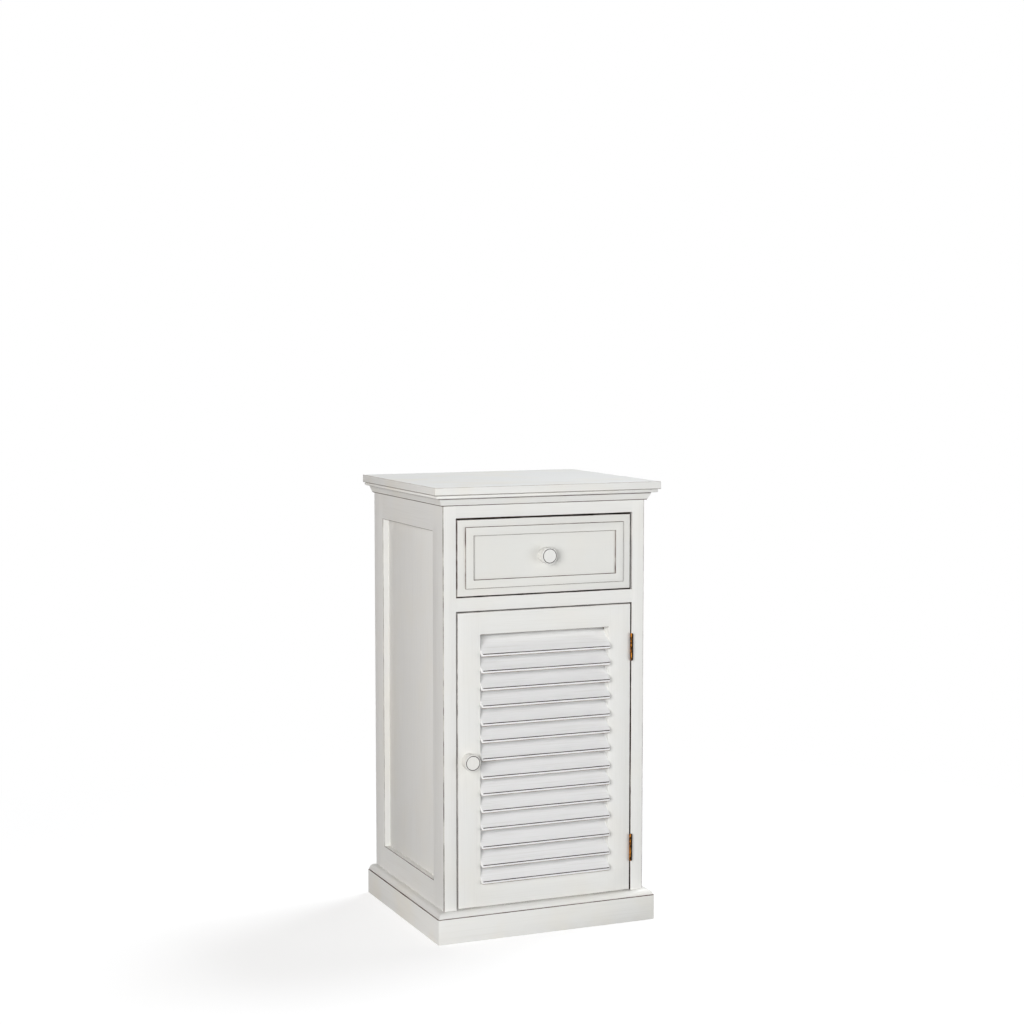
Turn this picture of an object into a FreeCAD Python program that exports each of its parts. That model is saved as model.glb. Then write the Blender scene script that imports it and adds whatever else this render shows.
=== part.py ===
import FreeCAD
import Part
import math
import os

# Louvred door cabinet: a painted wooden carcass with one inset drawer above one inset louvred door.
# Sizes are millimetres and degrees. +Z is up and the front faces -Y.
# The origin is on the floor, at the middle of the space that the cabinet takes up.

# Overall sizes
cabinet_height = 850.0
carcass_width = 412.0
carcass_depth = 380.0

# Top board, and the cornice strips under it: a bead above a plain fascia
top_thickness = 14.5
top_overhang = 24.0
top_edge_round = 1.5
bead_height = 6.5
bead_projection = 20.0
fascia_height = 14.5
fascia_top_projection = 10.0
fascia_foot_projection = 3.5
fascia_bulge = 0.8

# Plinth boards: a flat face, a small quirk, and a quarter-round that rises to a flat top
plinth_flat_height = 48.0
plinth_projection = 17.5
plinth_quirk = 2.0
plinth_moulding_rise = 9.5

# Posts and rails of the carcass
post_width = 26.0
front_post_depth = 53.0
rear_post_depth = 51.0
post_arris_round = 1.2
front_rail_thickness = 22.0
top_rail_height = 44.5
middle_rail_height = 26.0
bottom_rail_height = 44.0
drawer_opening_height = 147.0
side_rail_thickness = 22.0
side_top_rail_height = 71.0
side_bottom_rail_height = 91.5
tenon_length = 12.0
tenon_shoulder = 8.0
tenon_cheek = 6.0

# Side and back panels
side_panel_recess = 12.0
side_panel_thickness = 6.0
panel_groove_depth = 7.0
panel_expansion_gap = 0.8
back_panel_thickness = 6.0
back_rebate_width = 8.0

# Inside of the cupboard
floor_board_thickness = 18.0
shelf_height = 330.0
shelf_thickness = 16.0
shelf_side_clearance = 0.8
shelf_back_clearance = 0.8
shelf_setback = 15.0
shelf_pin_radius = 2.5
shelf_pin_length = 18.0
shelf_pin_bite = 9.0
shelf_pin_edge_distance = 9.0

# Drawer and its runners
reveal = 2.0
drawer_top_reveal = 2.8
drawer_right_reveal = 3.6
drawer_front_thickness = 20.0
drawer_front_round = 1.0
band_side_inset = 15.5
band_level_inset = 13.8
band_width = 16.7
band_height = 3.5
band_edge = 1.0
drawer_back_space = 44.0
drawer_side_thickness = 12.0
drawer_side_height = 100.0
drawer_side_clearance = 4.0
drawer_lap = 8.0
drawer_back_thickness = 12.0
drawer_back_drop = 8.0
drawer_bottom_thickness = 5.0
drawer_bottom_rise = 12.0
drawer_groove_depth = 5.0
runner_width = 25.0
runner_height = 20.0
runner_clearance = 0.3
runner_stop_length = 14.0
runner_stop_height = 20.0

# Louvred door
door_thickness = 22.0
door_stile_width = 46.0
door_edge_round = 1.0
door_bottom_reveal = 1.4
door_top_rail_height = 43.0
door_bottom_rail_height = 44.1
slat_count = 14
slat_thickness = 6.2
slat_angle = 40.0
slat_nose_projection = 9.2
slat_nose_height = 6.0
slat_nose_round = 1.0
slat_bottom_offset = 7.0
slat_top_offset = 32.3
slat_housing_depth = 6.0
slat_housing_shoulder = 2.0
slat_back_projection = 5.0

# How far each slat, from the top one down, was fixed above or below an even spacing
slat_settings = (-2.1, -0.4, 0.1, 0.7, 0.1, 1.3, 0.5, -0.6, 0.9, 1.7, 1.9, -0.5, -2.8, -0.7)

# Turned knobs, each held by a machine screw from behind
knob_projection = 20.0
knob_base_radius = 15.2
knob_waist_radius = 14.9
knob_waist_height = 7.0
knob_rim_radius = 15.7
knob_rim_height = 13.5
knob_rim_round = 1.4
knob_ring_land = 0.4
knob_ring_width = 1.4
knob_ring_depth = 0.9
door_knob_inset = 23.0
drawer_knob_drop = 0.6
knob_screw_radius = 2.0
knob_screw_clearance = 0.25
knob_screw_bite = 12.0
knob_screw_head_radius = 4.0
knob_screw_head_height = 2.4

# Butt hinges: two, with leaves in the gap beside the door and knuckles in front of the face
hinge_length = 50.8
hinge_end_distance = 58.0
hinge_barrel_radius = 3.0
hinge_barrel_clearance = 0.3
hinge_pin_radius = 1.25
hinge_pin_fit = 0.05
hinge_pin_head_radius = 2.2
hinge_pin_head_height = 0.8
hinge_knuckle_count = 5
hinge_knuckle_gap = 0.25
hinge_leaf_gap = 0.2
hinge_leaf_depth = 18.0
hinge_screw_count = 3
hinge_screw_spacing = 17.0
hinge_screw_setback = 9.5
hinge_screw_radius = 1.2
hinge_screw_length = 14.0
hinge_screw_head_radius = 2.4
hinge_screw_head_height = 1.2

# Magnetic catch on the post at the knob side, and its strike on the door
catch_drop = 20.0
catch_height = 40.0
catch_width = 15.0
catch_depth = 18.0
catch_air_gap = 0.4
strike_height = 30.0
strike_width = 14.0
strike_thickness = 1.2
strike_edge_distance = 1.5

# Places worked out from the sizes above
half_width = carcass_width / 2
back_y = (carcass_depth + top_overhang) / 2
front_y = back_y - carcass_depth
carcass_top = cabinet_height - top_thickness
opening_half = half_width - post_width
base_top = plinth_flat_height + plinth_moulding_rise
rail_underside = base_top - bottom_rail_height
drawer_opening_top = carcass_top - top_rail_height
drawer_opening_bottom = drawer_opening_top - drawer_opening_height
door_opening_top = drawer_opening_bottom - middle_rail_height
side_rail_inner_x = -half_width + side_rail_thickness
panel_outer_x = -half_width + side_panel_recess
panel_inner_x = panel_outer_x + side_panel_thickness
panel_front_y = front_y + front_post_depth
panel_rear_y = back_y - rear_post_depth
panel_bottom = rail_underside + side_bottom_rail_height
panel_top = carcass_top - side_top_rail_height
panel_tongue = panel_groove_depth - panel_expansion_gap
back_panel_y = back_y - back_panel_thickness
rail_back_y = front_y + front_rail_thickness

leaf_half = opening_half - reveal
drawer_front_right = opening_half - drawer_right_reveal
drawer_front_bottom = drawer_opening_bottom + reveal
drawer_front_top = drawer_opening_top - drawer_top_reveal
drawer_knob_z = (drawer_front_bottom + drawer_front_top) / 2 - drawer_knob_drop
drawer_front_back_y = front_y + drawer_front_thickness
drawer_back_y = back_panel_y - drawer_back_space
drawer_outer_x = opening_half - drawer_side_clearance
drawer_inner_x = drawer_outer_x - drawer_side_thickness
drawer_side_bottom = drawer_opening_bottom + runner_clearance
drawer_side_top = drawer_side_bottom + drawer_side_height
drawer_bottom_z = drawer_side_bottom + drawer_bottom_rise

door_bottom = base_top + door_bottom_reveal
door_top = door_opening_top - reveal
door_mid = (door_bottom + door_top) / 2
door_back_y = front_y + door_thickness
louvre_half = leaf_half - door_stile_width
louvre_bottom = door_bottom + door_bottom_rail_height
louvre_top = door_top - door_top_rail_height
slat_pitch = (louvre_top - slat_top_offset - louvre_bottom - slat_bottom_offset) / (slat_count - 1)
slat_nose_y = front_y - slat_nose_projection
slat_back_y = door_back_y + slat_back_projection
slope = math.radians(slat_angle)
slat_drop = slat_thickness / math.cos(slope)
door_knob_x = -leaf_half + door_knob_inset

hinge_x = opening_half - reveal / 2
hinge_y = front_y - hinge_barrel_radius - hinge_barrel_clearance
hinge_middles = (
    door_bottom + hinge_end_distance + hinge_length / 2,
    door_top - hinge_end_distance - hinge_length / 2,
)
knuckle_step = (hinge_length + hinge_knuckle_gap) / hinge_knuckle_count
knuckle_length = knuckle_step - hinge_knuckle_gap

X_AXIS = FreeCAD.Vector(1, 0, 0)
Y_AXIS = FreeCAD.Vector(0, 1, 0)
Z_AXIS = FreeCAD.Vector(0, 0, 1)
ORIGIN = FreeCAD.Vector(0, 0, 0)


# Helpers

def block(x_span, y_span, z_span):
    """A box between the low and high values of three spans."""
    corner = FreeCAD.Vector(x_span[0], y_span[0], z_span[0])
    return Part.makeBox(x_span[1] - x_span[0], y_span[1] - y_span[0], z_span[1] - z_span[0], corner)


def rod(start, direction, radius, length):
    """A round rod from a start point along a direction."""
    return Part.makeCylinder(radius, length, FreeCAD.Vector(*start), direction)


def mirrored(shape):
    """The same piece on the other side of the cabinet."""
    return shape.mirror(ORIGIN, X_AXIS)


def joined(shapes):
    """Several touching solids made into one."""
    return shapes[0].multiFuse(shapes[1:]).removeSplitter().Solids[0]


def near(value, target):
    """Whether two lengths are the same but for rounding."""
    return abs(value - target) < 1e-6


def edges_like(shape, is_picked):
    """The edges of a shape whose middle point and direction pass a test."""
    return [edge for edge in shape.Edges if is_picked(edge.CenterOfMass, edge.tangentAt(edge.FirstParameter))]


def face_of(runs):
    """A flat face from straight runs of 2 points and arcs of 3 points."""
    edges = []
    for run in runs:
        curve = Part.Arc(*run) if len(run) == 3 else Part.LineSegment(*run)
        edges.append(curve.toShape())
    return Part.Face(Part.Wire(edges))


def prism(points, direction):
    """A straight-sided solid from an outline and an extrusion."""
    return Part.Face(Part.makePolygon(list(points) + [points[0]])).extrude(direction)


# Mouldings: one outline of (projection, z) runs follows the front and both sides, mitred at the corners

def plan_wedge(side, reach, z_span):
    """The plan area that one mitred strip fills, as a solid that trims its ends."""
    outer_x = half_width + reach
    outer_y = front_y - reach
    if side == "front":
        plan = [(-outer_x, outer_y), (outer_x, outer_y), (half_width, front_y), (-half_width, front_y)]
    else:
        plan = [(-outer_x, outer_y), (-half_width, front_y), (-half_width, back_y), (-outer_x, back_y)]
    points = [FreeCAD.Vector(x, y, z_span[0]) for x, y in plan]
    return prism(points, Z_AXIS * (z_span[1] - z_span[0]))


def moulding_strip(side, runs, reach, z_span):
    """A strip of moulding along the front or the left side of the carcass."""
    if side == "front":
        placed = [[FreeCAD.Vector(-half_width - reach, front_y - p, z) for p, z in run] for run in runs]
        strip = face_of(placed).extrude(X_AXIS * (carcass_width + 2 * reach))
    else:
        placed = [[FreeCAD.Vector(-half_width - p, front_y - reach, z) for p, z in run] for run in runs]
        strip = face_of(placed).extrude(Y_AXIS * (carcass_depth + reach))
    return strip.common(plan_wedge(side, reach, z_span)).Solids[0]


def cornice_runs():
    """Outline of the cornice: a half-round bead over a gently bulged fascia."""
    bead_radius = bead_height / 2
    bead_centre = bead_projection - bead_radius
    soffit_z = carcass_top - bead_height
    foot_z = soffit_z - fascia_height
    lean = fascia_top_projection - fascia_foot_projection
    length = math.hypot(lean, fascia_height)
    middle_p = (fascia_top_projection + fascia_foot_projection) / 2 + fascia_bulge * fascia_height / length
    middle_z = (soffit_z + foot_z) / 2 - fascia_bulge * lean / length
    return [
        [(0, foot_z), (0, carcass_top)],
        [(0, carcass_top), (bead_centre, carcass_top)],
        [(bead_centre, carcass_top), (bead_projection, carcass_top - bead_radius), (bead_centre, soffit_z)],
        [(bead_centre, soffit_z), (fascia_top_projection, soffit_z)],
        [(fascia_top_projection, soffit_z), (middle_p, middle_z), (fascia_foot_projection, foot_z)],
        [(fascia_foot_projection, foot_z), (0, foot_z)],
    ]


def plinth_runs():
    """Outline of a plinth board: flat face, quirk, quarter-round and flat top."""
    quirk_p = plinth_projection - plinth_quirk
    crown_p = quirk_p - plinth_moulding_rise
    turn = plinth_moulding_rise * math.sqrt(0.5)
    return [
        [(0, 0), (plinth_projection, 0)],
        [(plinth_projection, 0), (plinth_projection, plinth_flat_height)],
        [(plinth_projection, plinth_flat_height), (quirk_p, plinth_flat_height)],
        [(quirk_p, plinth_flat_height), (crown_p + turn, plinth_flat_height + turn), (crown_p, base_top)],
        [(crown_p, base_top), (0, base_top)],
        [(0, base_top), (0, 0)],
    ]


def cornice(side):
    """One mitred cornice strip."""
    span = (carcass_top - bead_height - fascia_height, carcass_top)
    return moulding_strip(side, cornice_runs(), bead_projection, span)


def plinth(side):
    """One mitred plinth board."""
    return moulding_strip(side, plinth_runs(), plinth_projection, (0, base_top))


def top_board():
    """The top, with all its arrises eased."""
    reach_x = half_width + top_overhang
    board = block((-reach_x, reach_x), (front_y - top_overhang, back_y), (carcass_top, cabinet_height))
    return board.makeFillet(top_edge_round, board.Edges)


# Carcass frame

FRONT_RAILS = {
    "front_rail_top": (drawer_opening_top, carcass_top),
    "front_rail_middle": (door_opening_top, drawer_opening_bottom),
    "front_rail_bottom": (rail_underside, base_top),
}
SIDE_RAILS = {
    "top": (panel_top, carcass_top),
    "bottom": (rail_underside, panel_bottom),
}


def tenon_z(z_span):
    """The height of a tenon on a rail of the given height."""
    return (z_span[0] + tenon_shoulder, z_span[1] - tenon_shoulder)


def front_rail_tenon(z_span):
    """The tenons of a front rail, both ends in one bar."""
    reach = opening_half + tenon_length
    return block((-reach, reach), (front_y + tenon_cheek, rail_back_y - tenon_cheek), tenon_z(z_span))


def front_rail(name):
    """A rail between the front posts, tenoned at both ends."""
    z_span = FRONT_RAILS[name]
    body = block((-opening_half, opening_half), (front_y, rail_back_y), z_span)
    return joined([body, front_rail_tenon(z_span)])


def side_rail_tenon(z_span):
    """The tenons of a left side rail, both ends in one bar."""
    x_span = (-half_width + tenon_cheek, side_rail_inner_x - tenon_cheek)
    return block(x_span, (panel_front_y - tenon_length, panel_rear_y + tenon_length), tenon_z(z_span))


def panel_space(edge):
    """The space of the left side panel, reaching past the frame's inner edges all round."""
    y_span = (panel_front_y - edge, panel_rear_y + edge)
    return block((panel_outer_x, panel_inner_x), y_span, (panel_bottom - edge, panel_top + edge))


def side_rail(place):
    """A left side rail between the front and rear posts, grooved for the panel."""
    z_span = SIDE_RAILS[place]
    body = block((-half_width, side_rail_inner_x), (panel_front_y, panel_rear_y), z_span)
    return joined([body, side_rail_tenon(z_span)]).cut(panel_space(panel_groove_depth))


def side_panel():
    """The left side panel, with room to swell at the bottom of its grooves."""
    return panel_space(panel_tongue)


def shelf_pins():
    """Four pins that stand out of the posts under the shelf."""
    pins = []
    for side in (-1, 1):
        for y in (panel_front_y - shelf_pin_edge_distance, panel_rear_y + shelf_pin_edge_distance):
            start = (side * (opening_half + shelf_pin_bite), y, shelf_height - shelf_pin_radius)
            pins.append(rod(start, X_AXIS * -side, shelf_pin_radius, shelf_pin_length))
    return pins


def side_joinery():
    """What the side rails and panel take out of the left posts."""
    return [side_rail_tenon(z_span) for z_span in SIDE_RAILS.values()] + [panel_space(panel_groove_depth)]


def front_post():
    """The left front post with its mortises, groove and pin holes."""
    post = block((-half_width, -opening_half), (front_y, panel_front_y), (0, carcass_top))

    def is_outer_arris(point, direction):
        return near(point.x, -half_width) and near(point.y, front_y) and near(abs(direction.z), 1)

    post = post.makeFillet(post_arris_round, edges_like(post, is_outer_arris))
    front_joinery = [front_rail_tenon(z_span) for z_span in FRONT_RAILS.values()]
    return post.cut(side_joinery() + front_joinery + shelf_pins())


def hinge_post():
    """The right front post, also drilled for the hinge screws."""
    return mirrored(front_post()).cut(hinge_screws(1))


def rear_post():
    """The left rear post, rebated for the back panel."""
    post = block((-half_width, -opening_half), (panel_rear_y, back_y), (0, carcass_top))
    return post.cut(side_joinery() + shelf_pins() + [back_panel()])


def back_panel():
    """The back panel, let into the rear posts."""
    reach = opening_half + back_rebate_width
    return block((-reach, reach), (back_panel_y, back_y), (rail_underside, carcass_top))


# Cupboard

def floor_board():
    """The cupboard floor, level with the bottom rail and reaching the side rails between the posts."""
    z_span = (base_top - floor_board_thickness, base_top)
    middle = block((-opening_half, opening_half), (rail_back_y, back_panel_y), z_span)
    wings = block((side_rail_inner_x, -side_rail_inner_x), (panel_front_y, panel_rear_y), z_span)
    return joined([middle, wings])


def shelf():
    """The loose shelf, resting on its pins."""
    reach = opening_half - shelf_side_clearance
    y_span = (door_back_y + shelf_setback, back_panel_y - shelf_back_clearance)
    return block((-reach, reach), y_span, (shelf_height, shelf_height + shelf_thickness))


def magnetic_catch():
    """The catch body on the inner face of the left front post."""
    near_y = door_back_y + strike_thickness + catch_air_gap
    z_top = door_opening_top - catch_drop
    x_span = (-opening_half, -opening_half + catch_width)
    return block(x_span, (near_y, near_y + catch_depth), (z_top - catch_height, z_top))


def catch_strike():
    """The steel strike plate on the back of the door, facing the catch."""
    x_low = -leaf_half + strike_edge_distance
    z_mid = door_opening_top - catch_drop - catch_height / 2
    z_span = (z_mid - strike_height / 2, z_mid + strike_height / 2)
    return block((x_low, x_low + strike_width), (door_back_y, door_back_y + strike_thickness), z_span)


# Drawer

def drawer_runner():
    """The left runner: a bar from the middle rail to the back, with a stop for the drawer side."""
    bar_z = (drawer_opening_bottom - runner_height, drawer_opening_bottom)
    bar = block((-opening_half, -opening_half + runner_width), (rail_back_y, back_panel_y), bar_z)
    stop_y = drawer_back_y + runner_clearance
    stop_z = (drawer_opening_bottom, drawer_opening_bottom + runner_stop_height)
    stop = block((-opening_half, -drawer_inner_x), (stop_y, stop_y + runner_stop_length), stop_z)
    return joined([bar, stop])


def raised_band():
    """The flat raised band round the drawer front, its front arrises eased."""
    def layer(margin):
        side = band_side_inset + margin
        level = band_level_inset + margin
        x_span = (-leaf_half + side, drawer_front_right - side)
        z_span = (drawer_front_bottom + level, drawer_front_top - level)
        return block(x_span, (front_y - band_height, front_y), z_span)

    def is_front_arris(point, direction):
        return near(point.y, front_y - band_height) and near(direction.y, 0)

    band = layer(0).cut(layer(band_width))
    return band.makeChamfer(band_edge, edges_like(band, is_front_arris))


def drawer_front():
    """The drawer front with its raised band, lapped for the sides and grooved for the bottom."""
    x_span = (-leaf_half, drawer_front_right)
    board = block(x_span, (front_y, drawer_front_back_y), (drawer_front_bottom, drawer_front_top))

    def is_front_arris(point, direction):
        return near(point.y, front_y) and near(direction.y, 0)

    board = board.makeFillet(drawer_front_round, edges_like(board, is_front_arris))
    lap_y = (drawer_front_back_y - drawer_lap, drawer_front_back_y)
    lap = block((-leaf_half, -drawer_inner_x), lap_y, (drawer_front_bottom, drawer_side_top))
    cutters = [lap, mirrored(lap), drawer_bottom(), knob_screw_hole(0, drawer_knob_z)]
    return joined([board, raised_band()]).cut(cutters)


def drawer_side():
    """The left drawer side, lapped into the front and grooved for the bottom."""
    y_span = (drawer_front_back_y - drawer_lap, drawer_back_y)
    side = block((-drawer_outer_x, -drawer_inner_x), y_span, (drawer_side_bottom, drawer_side_top))
    return side.cut(drawer_bottom())


def drawer_back():
    """The drawer back, standing on the bottom between the sides."""
    y_span = (drawer_back_y - drawer_back_thickness, drawer_back_y)
    z_span = (drawer_bottom_z + drawer_bottom_thickness, drawer_side_top - drawer_back_drop)
    return block((-drawer_inner_x, drawer_inner_x), y_span, z_span)


def drawer_bottom():
    """The drawer bottom, held in grooves of the front and sides."""
    reach = drawer_inner_x + drawer_groove_depth
    y_span = (drawer_front_back_y - drawer_groove_depth, drawer_back_y)
    return block((-reach, reach), y_span, (drawer_bottom_z, drawer_bottom_z + drawer_bottom_thickness))


# Knobs

def knob(x, z):
    """A turned knob on the front face: a stout stem, a rounded rim and a ring quirk in the flat end."""
    def at(radius, height):
        return FreeCAD.Vector(x + radius, front_y - height, z)

    turn = knob_rim_round * (1 - math.sqrt(0.5))
    land_out = knob_rim_radius - knob_rim_round
    ring_out = land_out - knob_ring_land
    ring_mid = ring_out - knob_ring_width / 2
    ring_in = ring_out - knob_ring_width
    face = knob_projection
    foot = at(knob_base_radius, 0)
    rim_low = at(knob_rim_radius, knob_rim_height)
    rim_high = at(knob_rim_radius, face - knob_rim_round)
    runs = [
        [at(0, 0), foot],
        [foot, at(knob_waist_radius, knob_waist_height), rim_low],
        [rim_low, rim_high],
        [rim_high, at(knob_rim_radius - turn, face - turn), at(land_out, face)],
        [at(land_out, face), at(ring_out, face)],
        [at(ring_out, face), at(ring_mid, face - knob_ring_depth)],
        [at(ring_mid, face - knob_ring_depth), at(ring_in, face)],
        [at(ring_in, face), at(0, face)],
        [at(0, face), at(0, 0)],
    ]
    turned = face_of(runs).revolve(FreeCAD.Vector(x, front_y, z), Y_AXIS, 360)
    return turned.cut(rod((x, front_y, z), -Y_AXIS, knob_screw_radius, knob_screw_bite))


def knob_screw(x, z, wood_thickness):
    """The machine screw of a knob: a pan head behind the wood and a shank into the knob."""
    head_y = front_y + wood_thickness
    shank = rod((x, head_y, z), -Y_AXIS, knob_screw_radius, wood_thickness + knob_screw_bite)
    head = rod((x, head_y, z), Y_AXIS, knob_screw_head_radius, knob_screw_head_height)
    return joined([shank, head])


def knob_screw_hole(x, z):
    """The clearance hole that a knob screw passes through."""
    depth = max(door_thickness, drawer_front_thickness)
    return rod((x, front_y, z), Y_AXIS, knob_screw_radius + knob_screw_clearance, depth)


# Door

DOOR_RAILS = {
    "door_rail_top": (louvre_top, door_top),
    "door_rail_bottom": (door_bottom, louvre_bottom),
}


def slat_arris_heights():
    """Heights of the upper front arris of every slat, from the top slat down."""
    highest = louvre_top - slat_top_offset
    settings = [slat_settings[index % len(slat_settings)] for index in range(slat_count)]
    return [highest - slat_pitch * index + setting for index, setting in enumerate(settings)]


def slat_upper_z(arris_z, y):
    """Height of the upper face of a slat at a depth; the lower face is slat_drop below it."""
    return arris_z + (y - slat_nose_y) * math.tan(slope)


def slat_tongue(arris_z):
    """The plain part of a slat that is housed in both stiles, as one bar."""
    reach = louvre_half + slat_housing_depth
    low_y = front_y + slat_housing_shoulder
    high_y = door_back_y - slat_housing_shoulder
    outline = [(low_y, 0), (high_y, 0), (high_y, slat_drop), (low_y, slat_drop)]
    points = [FreeCAD.Vector(-reach, y, slat_upper_z(arris_z, y) - drop) for y, drop in outline]
    return prism(points, X_AXIS * (2 * reach))


def slat(arris_z):
    """A fixed louvre slat: an upright nose in front of the door, and ends housed in the stiles."""
    def at(y, z):
        return FreeCAD.Vector(-louvre_half, y, z)

    turn = slat_nose_round * (1 - math.sqrt(0.5))
    foot_z = arris_z - slat_nose_height
    heel_y = slat_nose_y + (slat_drop - slat_nose_height) / math.tan(slope)
    back_z = slat_upper_z(arris_z, slat_back_y)
    arris = at(slat_nose_y, arris_z)
    round_high = at(slat_nose_y, foot_z + slat_nose_round)
    round_low = at(slat_nose_y + slat_nose_round, foot_z)
    heel = at(heel_y, foot_z)
    back_top = at(slat_back_y, back_z)
    back_low = at(slat_back_y, back_z - slat_drop)
    outline = [
        [arris, back_top],
        [back_top, back_low],
        [back_low, heel],
        [heel, round_low],
        [round_low, at(slat_nose_y + turn, foot_z + turn), round_high],
        [round_high, arris],
    ]
    body = face_of(outline).extrude(X_AXIS * (2 * louvre_half))
    return joined([body, slat_tongue(arris_z)])


def door_rail_tenon(z_span):
    """The tenons of a door rail, both ends in one bar."""
    reach = louvre_half + tenon_length
    return block((-reach, reach), (front_y + tenon_cheek, door_back_y - tenon_cheek), tenon_z(z_span))


def door_rail(name, rise):
    """A door rail whose upper edge climbs by the given rise from front to back."""
    low, high = DOOR_RAILS[name]
    outline = [(front_y, low), (front_y, high), (door_back_y, high + rise), (door_back_y, low)]
    points = [FreeCAD.Vector(-louvre_half, y, z) for y, z in outline]
    return joined([prism(points, X_AXIS * (2 * louvre_half)), door_rail_tenon((low, high))])


def door_stile():
    """The left door stile with its mortises and slat housings."""
    stile = block((-leaf_half, -louvre_half), (front_y, door_back_y), (door_bottom, door_top))

    def is_outer_arris(point, direction):
        return near(point.x, -leaf_half) and near(point.y, front_y) and near(abs(direction.z), 1)

    stile = stile.makeFillet(door_edge_round, edges_like(stile, is_outer_arris))
    cutters = [door_rail_tenon(z_span) for z_span in DOOR_RAILS.values()]
    return stile.cut(cutters + [slat_tongue(arris_z) for arris_z in slat_arris_heights()])


def knob_stile():
    """The left stile, drilled for the knob screw."""
    return door_stile().cut(knob_screw_hole(door_knob_x, door_mid))


def hinge_stile():
    """The right stile, drilled for the hinge screws."""
    return mirrored(door_stile()).cut(hinge_screws(-1))


# Hinges: side 1 is the leaf on the post, side -1 the leaf on the door

def hinge_z(middle):
    """The height span of a hinge."""
    return (middle - hinge_length / 2, middle + hinge_length / 2)


def barrel(z_span, radius):
    """A round bar on the hinge axis."""
    return rod((hinge_x, hinge_y, z_span[0]), Z_AXIS, radius, z_span[1] - z_span[0])


def hinge_screws(side):
    """The countersunk screws of both leaves on one side, heads flush with the leaf."""
    face_x = hinge_x + side * hinge_leaf_gap / 2
    y = front_y + hinge_screw_setback
    into = X_AXIS * side
    screws = []
    for middle in hinge_middles:
        for index in range(hinge_screw_count):
            start = (face_x, y, middle + hinge_screw_spacing * (index - (hinge_screw_count - 1) / 2))
            head = Part.makeCone(hinge_screw_head_radius, hinge_screw_radius, hinge_screw_head_height,
                                 FreeCAD.Vector(*start), into)
            screws.append(joined([head, rod(start, into, hinge_screw_radius, hinge_screw_length)]))
    return screws


def knuckle_spans(middle, side):
    """Height spans of the knuckles of one leaf: the first and every second one belong to the post."""
    low = hinge_z(middle)[0]
    first = 0 if side == 1 else 1
    starts = [low + knuckle_step * index for index in range(first, hinge_knuckle_count, 2)]
    return [(start, start + knuckle_length) for start in starts]


def hinge_leaf(middle, side):
    """One leaf: a plate with its knuckles, cut back round the knuckles of the other leaf."""
    wood_x = opening_half if side == 1 else leaf_half
    x_pair = (hinge_x + side * hinge_leaf_gap / 2, wood_x)
    y_span = (hinge_y, front_y + hinge_leaf_depth)
    plate = block((min(x_pair), max(x_pair)), y_span, hinge_z(middle))
    swing = hinge_barrel_radius + hinge_barrel_clearance
    for low, high in knuckle_spans(middle, -side):
        plate = plate.cut(barrel((low - hinge_knuckle_gap, high + hinge_knuckle_gap), swing))
    knuckles = [barrel(span, hinge_barrel_radius) for span in knuckle_spans(middle, side)]
    bore = hinge_pin_radius + (hinge_pin_fit if side == -1 else 0)
    return joined([plate] + knuckles).cut([barrel(hinge_z(middle), bore)] + hinge_screws(side))


def hinge_leaves(side):
    """The leaves of both hinges on one side."""
    return Part.makeCompound([hinge_leaf(middle, side) for middle in hinge_middles])


def hinge_pins():
    """Both hinge pins, each with a low button at its ends."""
    pins = []
    for middle in hinge_middles:
        low, high = hinge_z(middle)
        shank = barrel((low, high), hinge_pin_radius)
        lower_button = barrel((low - hinge_pin_head_height, low), hinge_pin_head_radius)
        upper_button = barrel((high, high + hinge_pin_head_height), hinge_pin_head_radius)
        pins.append(joined([shank, lower_button, upper_button]))
    return Part.makeCompound(pins)


# Assembly

def carcass_nodes():
    """The pieces that stand still."""
    nodes = {
        "top_board": top_board(),
        "cornice_front": cornice("front"),
        "cornice_left": cornice("left"),
        "cornice_right": mirrored(cornice("left")),
        "plinth_front": plinth("front"),
        "plinth_left": plinth("left"),
        "plinth_right": mirrored(plinth("left")),
        "post_front_left": front_post(),
        "post_front_right": hinge_post(),
        "post_rear_left": rear_post(),
        "post_rear_right": mirrored(rear_post()),
        "side_panel_left": side_panel(),
        "side_panel_right": mirrored(side_panel()),
        "back_panel": back_panel(),
        "floor_board": floor_board(),
        "shelf": shelf(),
        "shelf_pins": Part.makeCompound(shelf_pins()),
        "drawer_runner_left": drawer_runner(),
        "drawer_runner_right": mirrored(drawer_runner()),
        "magnetic_catch": magnetic_catch(),
        "hinge_frame_leaves": hinge_leaves(1),
        "hinge_frame_screws": Part.makeCompound(hinge_screws(1)),
        "hinge_pins": hinge_pins(),
    }
    for name in FRONT_RAILS:
        nodes[name] = front_rail(name)
    for place in SIDE_RAILS:
        nodes["side_rail_left_" + place] = side_rail(place)
        nodes["side_rail_right_" + place] = mirrored(side_rail(place))
    return nodes


def drawer_nodes():
    """The pieces that slide with the drawer."""
    return {
        "drawer_front": drawer_front(),
        "drawer_side_left": drawer_side(),
        "drawer_side_right": mirrored(drawer_side()),
        "drawer_back": drawer_back(),
        "drawer_bottom": drawer_bottom(),
        "drawer_knob": knob(0, drawer_knob_z),
        "drawer_knob_screw": knob_screw(0, drawer_knob_z, drawer_front_thickness),
    }


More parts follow.
